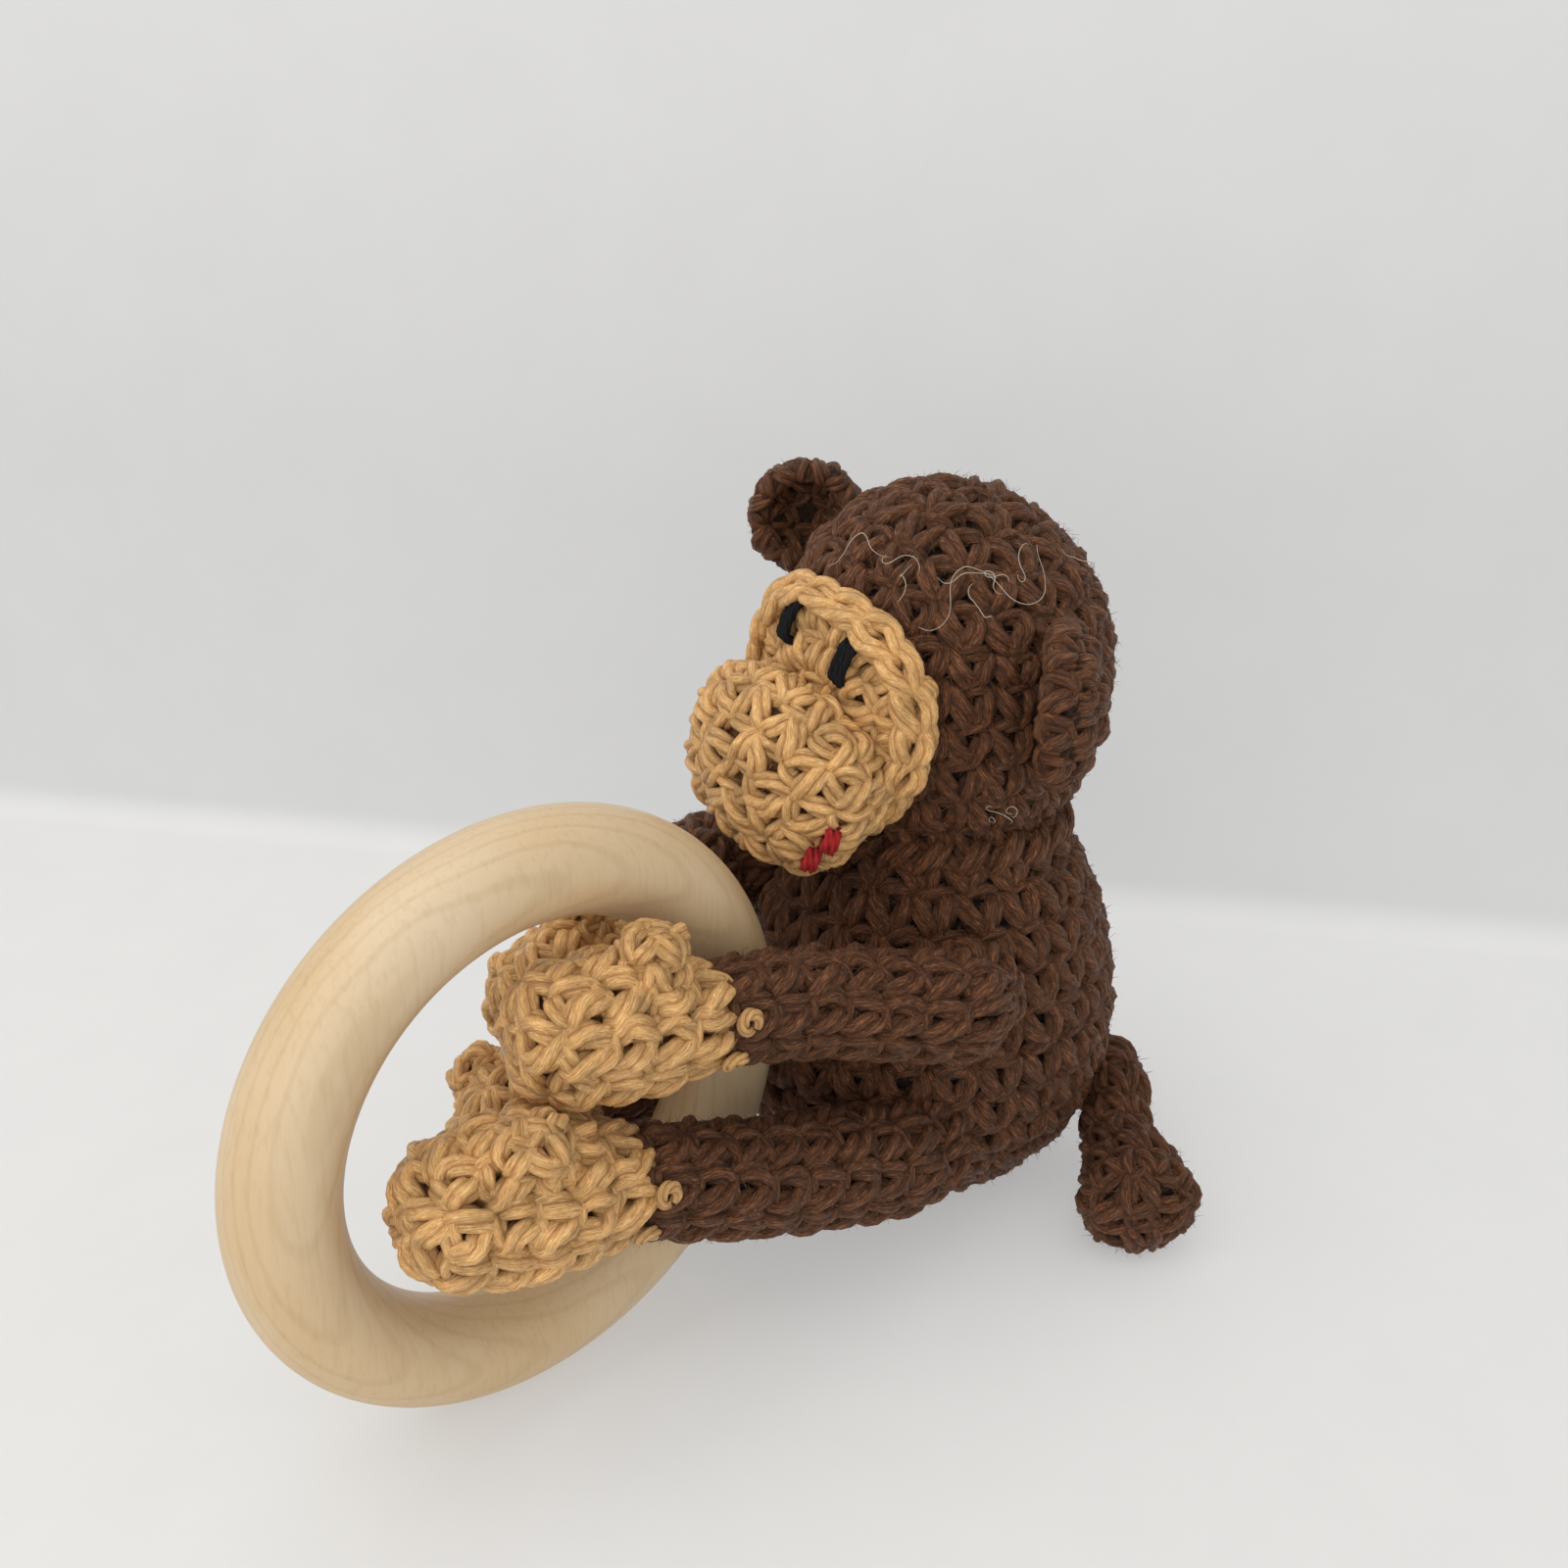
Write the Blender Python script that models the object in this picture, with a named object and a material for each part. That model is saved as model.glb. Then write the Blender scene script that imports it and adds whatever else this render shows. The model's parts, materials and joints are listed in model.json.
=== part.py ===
"""Crocheted monkey rattle that hugs a wooden teething ring.

Toy frame while building: the ring's centre is over x = 0, y = 0, the monkey faces -Y,
+Z is up and the floor is z = 0.  ORIGIN moves everything to the middle of the overall box.
All lengths below are millimetres; MM turns them into metres.
"""
import bpy
import bmesh
from math import cos, pi, radians, sin, sqrt
from mathutils import Matrix, Vector
from mathutils.bvhtree import BVHTree

MM = 0.001
ORIGIN = Vector((7.37, 27.55, 0.0)) # centre of the overall box, on the floor
GAP = 0.35                          # clearance between neighbouring pieces
WALL = 2.2                          # thickness of one layer of crochet

# wooden ring: 70 mm outside, 12 mm thick, leaning a little towards +X
RING_MAJOR = 29.0
RING_TUBE = 6.0
RING_LEAN = radians(2.12)
RING_SEGMENTS = 48
RING_SIDES = 14

# body: rows of (height, radius) about an upright axis, from the flat seat to the neck
BODY_AXIS = Vector((0.6, 65.6, 0.0))
BODY_ROWS = [(0.0, 9.6), (1.1, 12.4), (3.4, 15.4), (7.4, 18.9), (12.6, 21.9), (19.0, 23.9),
             (26.0, 24.5), (33.5, 23.7), (40.5, 21.7), (46.5, 19.0), (50.5, 16.8), (53.0, 15.3)]
BODY_SIDES = 24

# head: a spine of (centre, radius) that leans towards the left ear as it rises
HEAD_RIM_Z = 53.4
HEAD_ROWS = [((0.6, 65.6, 53.4), 15.3), ((0.6, 65.6, 56.0), 17.0), ((0.7, 65.6, 60.5), 19.0),
             ((0.8, 65.6, 66.5), 20.3), ((1.1, 65.7, 73.0), 20.7), ((1.7, 65.8, 79.5), 19.9),
             ((2.7, 65.9, 85.0), 17.3), ((3.8, 66.0, 89.5), 13.0), ((4.6, 66.0, 92.4), 7.6)]
HEAD_TOP = Vector((5.0, 66.0, 93.8))
HEAD_CENTRE = Vector((1.0, 65.8, 74.5))
HEAD_ROLL = radians(15.0)
HEAD_SIDES = 24

# face patch, muzzle and embroidered stitches, placed in the rolled head frame (x, z)
PATCH = dict(centre=(0.0, -4.0), half=(13.8, 13.8), power=2.4)
PATCH_THICK = 2.4
MUZZLE_CENTRE = (0.0, -8.9)
MUZZLE_HALF = (12.5, 8.2)
MUZZLE_REACH = 13.0
MUZZLE_DROOP = 1.8
EYES = {"left_eye": (4.8, 4.6), "right_eye": (-4.9, 4.9)}
EYE_HALF = (1.35, 2.7)
MOUTH = {"mouth_stitch_upper": (1.2, 1.3, 35.0), "mouth_stitch_lower": (-1.0, -1.5, 35.0)}
MOUTH_HALF = (0.9, 1.6)
MOUTH_POINT = Vector((8.9, 36.0, 58.3))   # low on the left side of the muzzle
MOUTH_WAY = (-0.55, 0.70, 0.45)           # into the muzzle there

# ears: open cups turned towards the face; centre, half sizes, tilt and turn for each side
EARS = {"left_ear": ((25.2, 61.0, 73.2), (8.2, 9.2), radians(6.0), radians(-56.0)),
        "right_ear": ((-22.0, 63.8, 87.6), (7.2, 7.1), radians(-32.0), radians(40.0))}
EAR_DEPTH = 6.0

# limbs: (centre, radius) from the body outwards; "cuff" is the point where brown meets tan
LIMBS = {
    "left_arm": dict(
        root=(0.62, -0.78, 0.03), cuff=5, end="left_hand",
        path=[((22.6, 47.0, 39.0), 6.2), ((21.4, 42.2, 40.0), 6.2), ((18.6, 36.0, 41.5), 6.1),
              ((15.4, 29.0, 43.2), 6.0), ((13.4, 22.0, 44.6), 5.9), ((12.1, 15.6, 45.5), 5.8),
              ((10.7, 10.0, 46.6), 7.3), ((9.3, 4.6, 47.5), 7.9), ((8.4, -0.8, 48.2), 7.4)]),
    "right_arm": dict(
        root=(-0.62, -0.78, 0.03), cuff=5, end="right_hand",
        path=[((-21.0, 48.4, 43.2), 6.3), ((-20.6, 43.4, 43.8), 6.3), ((-18.6, 37.0, 43.6), 6.2),
              ((-15.6, 30.5, 42.8), 6.0), ((-13.4, 25.8, 42.2), 5.9), ((-12.0, 21.6, 41.8), 5.8),
              ((-10.5, 17.0, 41.5), 7.0), ((-9.2, 12.6, 41.3), 7.6), ((-8.6, 8.0, 41.0), 7.0)]),
    "left_leg": dict(
        root=(0.28, -0.95, 0.14), cuff=5, end="left_foot",
        path=[((17.2, 42.4, 17.8), 7.0), ((17.0, 37.0, 19.0), 6.8), ((16.4, 29.0, 21.4), 6.5),
              ((15.6, 20.0, 24.2), 6.3), ((14.4, 11.0, 27.6), 6.2), ((13.1, 2.6, 30.9), 6.1),
              ((11.6, -3.4, 32.2), 8.1), ((10.0, -9.4, 33.4), 8.8), ((9.3, -15.6, 34.2), 7.6)]),
    "right_leg": dict(
        root=(-0.28, -0.95, 0.14), cuff=5, end="right_foot",
        path=[((-16.4, 42.8, 16.6), 7.0), ((-16.4, 38.0, 17.4), 6.8), ((-16.0, 31.0, 19.0), 6.5),
              ((-15.2, 24.0, 21.0), 6.3), ((-14.0, 18.0, 23.0), 6.2), ((-12.9, 13.0, 24.4), 6.1),
              ((-11.4, 9.0, 24.9), 7.7), ((-9.4, 6.0, 25.2), 8.2), ((-8.8, 3.0, 25.8), 7.5)])}
LIMB_SIDES = 12
TIP_LENGTH = 0.75                   # length of a rounded end over its radius

# thumbs and big toes: base inside the hand or foot, direction, reach and radius
BUDS = {"left_thumb": ("left_hand", (10.6, 8.6, 47.2), (0.10, 0.10, 1.0), 11.2, 3.9),
        "right_thumb": ("right_hand", (-10.2, 14.6, 41.4), (-0.05, 0.10, 1.0), 10.6, 3.8),
        "left_big_toe": ("left_foot", (11.0, -5.4, 32.6), (0.34, -0.34, 0.88), 13.2, 4.1),
        "right_big_toe": ("right_foot", (-10.2, 6.6, 25.0), (-0.80, -0.25, 0.55), 11.6, 3.9)}

# tail: leaves the back of the body and curls round to the monkey's left
TAIL = [((20.2, 82.2, 12.6), 4.8), ((24.2, 77.6, 10.2), 4.7), ((28.8, 73.2, 9.0), 5.2),
        ((33.2, 69.4, 8.5), 6.8), ((36.3, 66.4, 8.0), 7.6)]
TAIL_ROOT = (0.90, 0.38, -0.22)

# rattle insert: a two-part capsule of beads in the middle of the body
CAPSULE_CENTRE = Vector((0.6, 65.6, 25.0))
CAPSULE_RADIUS = 12.0
CAPSULE_WALL = 1.2
CAPSULE_SPLIT = 0.25
BEAD_RADIUS = 2.3
BEAD_RING_ANGLE = radians(36.0)
BEADS_AROUND = 5

BROWN = (0.105, 0.040, 0.018)
TAN = (0.62, 0.38, 0.17)
MATERIALS = {"brown_yarn": (BROWN, 0.9, 0.0), "tan_yarn": (TAN, 0.8, 0.0),
             "black_thread": ((0.012, 0.011, 0.011), 0.6, 0.0),
             "red_thread": ((0.42, 0.012, 0.014), 0.6, 0.0),
             "maple_wood": ((0.68, 0.50, 0.31), 0.5, 0.0),
             "white_fibre": ((0.86, 0.86, 0.83), 0.95, 0.0),
             "clear_plastic": ((0.80, 0.82, 0.84), 0.35, 0.0),
             "bead_plastic": ((0.85, 0.55, 0.10), 0.3, 0.0)}


def clear_scene():
    for item in list(bpy.data.objects):
        bpy.data.objects.remove(item, do_unlink=True)


def add_object(name, verts, faces, slot, pivot=Vector((0, 0, 0))):
    """One closed mesh as one named object, with its origin at the pivot."""
    mesh = bpy.data.meshes.new(name)
    mesh.from_pydata([((Vector(v) - pivot) * MM)[:] for v in verts], [], faces)
    bm = bmesh.new()
    bm.from_mesh(mesh)
    bmesh.ops.recalc_face_normals(bm, faces=bm.faces)
    bm.to_mesh(mesh)
    bm.free()
    for polygon in mesh.polygons:
        polygon.use_smooth = True
    item = bpy.data.objects.new(name, mesh)
    item.location = (pivot - ORIGIN) * MM
    bpy.context.scene.collection.objects.link(item)
    colour, roughness, metallic = MATERIALS[slot]
    skin = bpy.data.materials.new(f"{name}_{slot}")
    skin.use_nodes = True
    shader = skin.node_tree.nodes["Principled BSDF"]
    shader.inputs["Base Color"].default_value = (*colour, 1.0)
    shader.inputs["Roughness"].default_value = roughness
    shader.inputs["Metallic"].default_value = metallic
    mesh.materials.append(skin)
    return item


# ---------------------------------------------------------------- rows of points

def ring_row(centre, side, up, half_side, half_up, count):
    return [centre + side * (half_side * cos(2 * pi * k / count))
            + up * (half_up * sin(2 * pi * k / count)) for k in range(count)]


def frames(centres, start_up):
    """A side and up vector for every centre, carried along without twisting."""
    result = []
    up = Vector(start_up)
    last = len(centres) - 1
    for k in range(last + 1):
        tangent = (centres[min(k + 1, last)] - centres[max(k - 1, 0)]).normalized()
        up = (up - tangent * up.dot(tangent)).normalized()
        side = up.cross(tangent).normalized()
        result.append((tangent, side, up))
    return result


def sweep(points, count, start_up=(0, 0, 1), inset=0.0, tip=0, tip_length=TIP_LENGTH):
    """Rows along a list of (centre, radius); tip adds a rounded end and returns its pole."""
    centres = [Vector(p[0]) for p in points]
    radii = [p[1] - inset for p in points]
    axes = frames(centres, start_up)
    rows = []
    for centre, radius, (_, side, up) in zip(centres, radii, axes):
        rows.append(ring_row(centre, side, up, radius, radius, count))
    tangent, side, up = axes[-1]
    reach = radii[-1] * tip_length
    for k in range(1, tip):
        turn = 0.5 * pi * k / tip
        centre = centres[-1] + tangent * (reach * sin(turn))
        half = radii[-1] * cos(turn)
        rows.append(ring_row(centre, side, up, half, half, count))
    return rows, centres[-1] + tangent * reach


def seat_on(row, direction, target, gap):
    """Move a row of points back along -direction until they sit gap above the target."""
    seated = []
    for point in row:
        hit, normal, _, _ = target.ray_cast(point + direction * 4.0, -direction)
        if hit is None:
            hit, normal, _, _ = target.find_nearest(point)
        seated.append(hit + normal * gap)
    return seated


def between(first, second, share):
    return [a.lerp(b, share) for a, b in zip(first, second)]


# ---------------------------------------------------------------- closed meshes

def strip(rows, faces, flip=False):
    count = len(rows[0])
    for a, b in zip(rows[:-1], rows[1:]):
        for k in range(count):
            n = (k + 1) % count
            quad = (a[k], a[n], b[n], b[k])
            faces.append(tuple(reversed(quad)) if flip else quad)


def indexed(rows, verts):
    result = []
    for row in rows:
        result.append(list(range(len(verts), len(verts) + len(row))))
        verts.extend(row)
    return result


def fan(row, pole, verts, faces):
    index = len(verts)
    verts.append(pole)
    for k in range(len(row)):
        faces.append((row[k], row[(k + 1) % len(row)], index))


def shell_mesh(outer, outer_pole, inner, inner_pole):
    """A cup: outer and inner walls joined at the rim of the first rows."""
    verts = []
    faces = []
    outside = indexed(outer, verts)
    inside = indexed(inner, verts)
    strip(outside, faces)
    strip(inside, faces, True)
    strip([inside[0], outside[0]], faces)
    fan(outside[-1], outer_pole, verts, faces)
    fan(list(reversed(inside[-1])), inner_pole, verts, faces)
    return verts, faces


def sleeve_mesh(outer, inner):
    """A tube open at both ends."""
    verts = []
    faces = []
    outside = indexed(outer, verts)
    inside = indexed(inner, verts)
    strip(outside, faces)
    strip(inside, faces, True)
    strip([inside[0], outside[0]], faces)
    strip([outside[-1], inside[-1]], faces)
    return verts, faces


def solid_mesh(rows, first_pole, last_pole):
    verts = []
    faces = []
    index = indexed(rows, verts)
    strip(index, faces)
    fan(list(reversed(index[0])), first_pole, verts, faces)
    fan(index[-1], last_pole, verts, faces)
    return verts, faces


def tree_of(verts, faces):
    """Lookup tree whose face normals point out of the closed mesh."""
    points = [Vector(v) for v in verts]
    volume = 0.0
    for face in faces:
        for k in range(1, len(face) - 1):
            volume += points[face[0]].dot(points[face[k]].cross(points[face[k + 1]]))
    if volume < 0:
        faces = [tuple(reversed(face)) for face in faces]
    return BVHTree.FromPolygons(points, faces)


def mean(row):
    return sum(row, Vector((0, 0, 0))) / len(row)


# ---------------------------------------------------------------- sub-parts

def build_ring():
    centre = Vector((0, 0, RING_MAJOR * cos(RING_LEAN) + RING_TUBE))
    axis = Vector((cos(RING_LEAN), 0, -sin(RING_LEAN)))
    upright = Vector((sin(RING_LEAN), 0, cos(RING_LEAN)))
    rows = []
    for i in range(RING_SEGMENTS):
        turn = 2 * pi * i / RING_SEGMENTS
        outward = Vector((0, 1, 0)) * cos(turn) + upright * sin(turn)
        middle = centre + outward * RING_MAJOR
        rows.append(ring_row(middle, outward, axis, RING_TUBE, RING_TUBE, RING_SIDES))
    verts = []
    faces = []
    index = indexed(rows, verts)
    strip(index + [index[0]], faces)
    add_object("wooden_ring", verts, faces, "maple_wood", centre)


def lathe(rows, axis, count, inset=0.0, drop=0.0):
    return [ring_row(axis + Vector((0, 0, z + drop)), Vector((1, 0, 0)), Vector((0, 1, 0)),
                     r - inset, r - inset, count) for z, r in rows]


def body_inner_rows(inset):
    """The body's outline moved inwards by the same distance all along."""
    rows = []
    last = len(BODY_ROWS) - 1
    for k, (z, r) in enumerate(BODY_ROWS):
        rise = BODY_ROWS[min(k + 1, last)][0] - BODY_ROWS[max(k - 1, 0)][0]
        spread = BODY_ROWS[min(k + 1, last)][1] - BODY_ROWS[max(k - 1, 0)][1]
        length = sqrt(rise * rise + spread * spread)
        rows.append((z + inset * spread / length, r - inset * rise / length))
    rows[0] = (inset, rows[0][1])
    rows[-1] = (BODY_ROWS[-1][0], rows[-1][1])
    return rows


def build_body():
    outer = lathe(BODY_ROWS, BODY_AXIS, BODY_SIDES)
    inner = lathe(body_inner_rows(WALL), BODY_AXIS, BODY_SIDES)
    verts, faces = shell_mesh(outer[::-1], BODY_AXIS.copy(), inner[::-1],
                              BODY_AXIS + Vector((0, 0, WALL)))
    add_object("body_skin", verts, faces, "brown_yarn", BODY_AXIS)
    return tree_of(*solid_mesh(outer, BODY_AXIS.copy(), mean(outer[-1])))


def sphere_rows(centre, radius, start, stop, steps, count):
    """Rows of a sphere between two angles measured up from its bottom pole."""
    rows = []
    for k in range(steps + 1):
        turn = start + (stop - start) * k / steps
        middle = centre - Vector((0, 0, radius * cos(turn)))
        rows.append(ring_row(middle, Vector((1, 0, 0)), Vector((0, 1, 0)),
                             radius * sin(turn), radius * sin(turn), count))
    return rows


def build_body_stuffing():
    """Two packed halves of fibre with a round pocket for the rattle capsule."""
    inset = WALL + GAP
    split = CAPSULE_CENTRE.z
    pocket = CAPSULE_RADIUS + GAP
    rows = body_inner_rows(inset)
    wide = rows[6][1]
    lower = [row for row in rows if row[0] < split - 2.0] + [(split - GAP, wide)]
    upper = [(split + GAP, wide)] + [row for row in rows if row[0] > split + 2.0]
    upper[-1] = (BODY_ROWS[-1][0] - GAP, upper[-1][1])
    middle = CAPSULE_CENTRE
    low_cut = 0.5 * pi - GAP / pocket
    cups = {"body_stuffing_lower": (lower[::-1], low_cut, 0.0, Vector((0, 0, -pocket))),
            "body_stuffing_upper": (upper, pi - low_cut, pi, Vector((0, 0, pocket)))}
    for name, (outline, start, stop, pole) in cups.items():
        outer = lathe(outline, BODY_AXIS, 16)
        end = mean(outer[-1])
        inner = sphere_rows(middle, pocket, start, start + (stop - start) * 0.86, 4, 16)
        verts, faces = shell_mesh(outer, end, inner, middle + pole)
        add_object(name, verts, faces, "white_fibre", BODY_AXIS)


def build_capsule():
    """Lower and upper halves of the hard capsule, parted at its middle."""
    inside = CAPSULE_RADIUS - CAPSULE_WALL
    halves = {"rattle_capsule_lower": (0.5 * pi, 0.0, -1.0),
              "rattle_capsule_upper": (0.5 * pi, pi, 1.0)}
    for name, (start, stop, way) in halves.items():
        begin = start + way * CAPSULE_SPLIT / CAPSULE_RADIUS
        end = begin + (stop - begin) * 0.86
        outer = sphere_rows(CAPSULE_CENTRE, CAPSULE_RADIUS, begin, end, 4, 16)
        inner = sphere_rows(CAPSULE_CENTRE, inside, begin, end, 4, 16)
        verts, faces = shell_mesh(outer, CAPSULE_CENTRE + Vector((0, 0, way * CAPSULE_RADIUS)),
                                  inner, CAPSULE_CENTRE + Vector((0, 0, way * inside)))
        add_object(name, verts, faces, "clear_plastic", CAPSULE_CENTRE)


def build_beads():
    """One bead at the bottom of the capsule and the others round it."""
    reach = CAPSULE_RADIUS - CAPSULE_WALL - BEAD_RADIUS - 0.25
    places = [CAPSULE_CENTRE - Vector((0, 0, reach))]
    for k in range(BEADS_AROUND):
        turn = 2 * pi * k / BEADS_AROUND
        out = reach * sin(BEAD_RING_ANGLE)
        places.append(CAPSULE_CENTRE + Vector((out * cos(turn), out * sin(turn),
                                               -reach * cos(BEAD_RING_ANGLE))))
    for number, place in enumerate(places, 1):
        rows = sphere_rows(place, BEAD_RADIUS, radians(30), radians(150), 4, 8)
        verts, faces = solid_mesh(rows, place - Vector((0, 0, BEAD_RADIUS)),
                                  place + Vector((0, 0, BEAD_RADIUS)))
        add_object(f"rattle_bead_{number}", verts, faces, "bead_plastic", place)


def head_rows(inset, count):
    centres = [Vector(p[0]) for p in HEAD_ROWS]
    axes = frames(centres + [HEAD_TOP], (0, 1, 0))
    rows = []
    for centre, (_, radius), (_, side, up) in zip(centres, HEAD_ROWS, axes):
        half = max(radius - inset, 3.0)
        rows.append(ring_row(centre, side, up, half, half, count))
    rows[0] = ring_row(centres[0], Vector((1, 0, 0)), Vector((0, 1, 0)),
                       HEAD_ROWS[0][1] - inset, HEAD_ROWS[0][1] - inset, count)
    return rows


def build_head():
    """Head skin, open at the neck, with its stuffing."""
    pivot = Vector((BODY_AXIS.x, BODY_AXIS.y, HEAD_RIM_Z))
    outer = head_rows(0.0, HEAD_SIDES)
    inner = head_rows(WALL, HEAD_SIDES)[:-1]
    lean = (HEAD_TOP - Vector(HEAD_ROWS[-1][0])).normalized()
    verts, faces = shell_mesh(outer, HEAD_TOP, inner, HEAD_TOP - lean * WALL)
    add_object("head_skin", verts, faces, "brown_yarn", pivot)
    rows = head_rows(WALL + GAP, 16)[:-1]
    base = rows[0]
    rows[0] = [p + Vector((0, 0, GAP)) for p in base]
    stuffing = solid_mesh(rows, mean(rows[0]), HEAD_TOP - lean * (WALL + GAP))
    add_object("head_stuffing", *stuffing, "white_fibre", pivot)
    return tree_of(*solid_mesh(outer, mean(outer[0]), HEAD_TOP)), pivot


def head_frame():
    turn = Matrix.Rotation(HEAD_ROLL, 3, "Y")
    return turn @ Vector((1, 0, 0)), turn @ Vector((0, 0, 1))


def face_frame():
    """Origin, side, up and inward way for pads laid on the face."""
    side, up = head_frame()
    return HEAD_CENTRE, side, up, Vector((0, 1, 0))


def mouth_frame():
    """The same for the mouth, which looks down and to the left."""
    way = Vector(MOUTH_WAY).normalized()
    side = way.cross(Vector((0, 0, 1))).normalized()
    return MOUTH_POINT, side, side.cross(way), way


def superellipse(half, power, count):
    points = []
    for k in range(count):
        turn = 2 * pi * k / count
        c = cos(turn)
        s = sin(turn)
        scale = (abs(c) ** power + abs(s) ** power) ** (-1.0 / power)
        points.append((half[0] * c * scale, half[1] * s * scale))
    return points


def cast_face(target, x, z, height, frame=None):
    origin, side, up, way = frame or face_frame()
    hit, normal, _, _ = target.ray_cast(origin + side * x + up * z - way * 60, way)
    return hit + normal * height


def pad_mesh(target, centre, half, thick, turn=0.0, power=2.0, count=24, rings=4, gap=GAP,
             frame=None):
    """A thin pad laid on the target, following its surface, with rounded edges."""
    outline = superellipse(half, power, count)
    c = cos(turn)
    s = sin(turn)

    def layer(share, height):
        row = []
        for px, pz in outline:
            x = centre[0] + share * (px * c - pz * s)
            z = centre[1] + share * (px * s + pz * c)
            row.append(cast_face(target, x, z, height, frame))
        return row

    top = [layer(k / rings, gap + thick) for k in range(1, rings)]
    edge = [layer(0.97, gap + thick * 0.82), layer(1.0, gap + thick * 0.45), layer(0.96, gap)]
    under = [layer(k / rings, gap) for k in range(rings - 1, 0, -1)]
    return solid_mesh(top + edge + under, cast_face(target, *centre, gap + thick, frame),
                      cast_face(target, *centre, gap, frame))


def build_face(head, pivot):
    """Face patch, then the stuffed muzzle sewn on it, then eyes and mouth stitches."""
    patch = pad_mesh(head, PATCH["centre"], PATCH["half"], PATCH_THICK, power=PATCH["power"],
                     count=28, rings=4, gap=GAP + 0.1)
    add_object("face_patch", *patch, "tan_yarn", pivot)
    on_patch = tree_of(*patch)
    for name, place in EYES.items():
        eye = pad_mesh(on_patch, place, EYE_HALF, 1.0, turn=radians(-8), count=12, rings=2)
        add_object(name, *eye, "black_thread", pivot)
    outer, outer_pole = muzzle_rows(on_patch, 0.0, GAP)
    inner, inner_pole = muzzle_rows(on_patch, WALL, GAP)
    skin = shell_mesh(outer, outer_pole, inner, inner_pole)
    add_object("muzzle", *skin, "tan_yarn", pivot)
    fill, fill_pole = muzzle_rows(on_patch, WALL + 2 * GAP, 3 * GAP)
    backs = []
    for share in (0.35, 0.7):
        backs.append([cast_face(on_patch, MUZZLE_CENTRE[0] + share * x, MUZZLE_CENTRE[1]
                                + share * z, 3 * GAP) for x, z in muzzle_rim(WALL + 2 * GAP)])
    middle = cast_face(on_patch, *MUZZLE_CENTRE, 3 * GAP)
    add_object("muzzle_stuffing", *solid_mesh(backs + fill, middle, fill_pole),
               "white_fibre", pivot)
    on_muzzle = tree_of(*skin)
    for name, (x, z, turn) in MOUTH.items():
        stitch = pad_mesh(on_muzzle, (x, z), MOUTH_HALF, 0.9, turn=-radians(turn), count=10,
                          rings=2, frame=mouth_frame())
        add_object(name, *stitch, "red_thread", pivot)


def muzzle_rim(inset):
    return superellipse((MUZZLE_HALF[0] - inset, MUZZLE_HALF[1] - inset), 2.2, 24)


# rows of the muzzle: depth over its reach, then width and height over its sewn rim
MUZZLE_SHAPE = [(0.12, 1.06, 1.14), (0.32, 1.13, 1.34), (0.52, 1.12, 1.42), (0.70, 1.00, 1.30),
                (0.84, 0.80, 1.04), (0.94, 0.54, 0.70), (0.985, 0.28, 0.36)]


def muzzle_rows(target, inset, height):
    """Rows of the muzzle from its sewn rim to the rounded front."""
    rim = muzzle_rim(inset)
    first = [cast_face(target, MUZZLE_CENTRE[0] + x, MUZZLE_CENTRE[1] + z, height)
             for x, z in rim]
    side, up = head_frame()
    base = mean([cast_face(target, MUZZLE_CENTRE[0] + x, MUZZLE_CENTRE[1] + z, GAP)
                 for x, z in muzzle_rim(0.0)])
    middle = HEAD_CENTRE + side * MUZZLE_CENTRE[0] + up * MUZZLE_CENTRE[1]
    middle.y = base.y
    rows = [first]
    reach = MUZZLE_REACH - inset
    for depth, wide, tall in MUZZLE_SHAPE:
        droop = min(1.0, depth / 0.4)
        row = []
        for k, (x, z) in enumerate(rim):
            flat = middle + side * (x * wide) + up * (z * tall - MUZZLE_DROOP * droop)
            blend = max(0.0, 1.0 - depth / 0.45)
            flat.y = base.y * (1 - blend) + first[k].y * blend - reach * depth
            row.append(flat)
        rows.append(row)
    return rows, middle - Vector((0, reach, 0)) - up * MUZZLE_DROOP


def build_ears(head, pivot):
    for name, (place, half, tilt, turn) in EARS.items():
        centre = Vector(place)
        frame = Matrix.Rotation(turn, 3, "Z") @ Matrix.Rotation(tilt, 3, "Y")
        side = frame @ Vector((1, 0, 0))
        back = frame @ Vector((0, 1, 0))
        up = frame @ Vector((0, 0, 1))
        outer = []
        inner = []
        for depth, scale in [(0.0, 1.0), (0.28, 1.0), (0.58, 0.88), (0.82, 0.62), (0.95, 0.34)]:
            middle = centre + back * ((depth - 0.5) * EAR_DEPTH)
            outer.append(ring_row(middle, side, up, half[0] * scale, half[1] * scale, 16))
            hollow = centre + back * ((depth * 0.62 - 0.5) * EAR_DEPTH)
            inner.append(ring_row(hollow, side, up, (half[0] - WALL) * scale,
                                  (half[1] - WALL) * scale, 16))
        outer = [[clear_of(head, p, 0.5) for p in row] for row in outer]
        inner = [[clear_of(head, p, 1.6) for p in row] for row in inner]
        outer_pole = centre + back * (0.5 * EAR_DEPTH)
        inner_pole = centre + back * (0.12 * EAR_DEPTH)
        add_object(name, *shell_mesh(outer, outer_pole, inner, inner_pole), "brown_yarn", pivot)


def clear_of(target, point, gap):
    """The point itself, or the nearest place that keeps gap outside the target."""
    hit, normal, _, _ = target.find_nearest(point)
    height = (point - hit).dot(normal)
    if height >= gap:
        return point
    return hit + normal * gap


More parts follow.
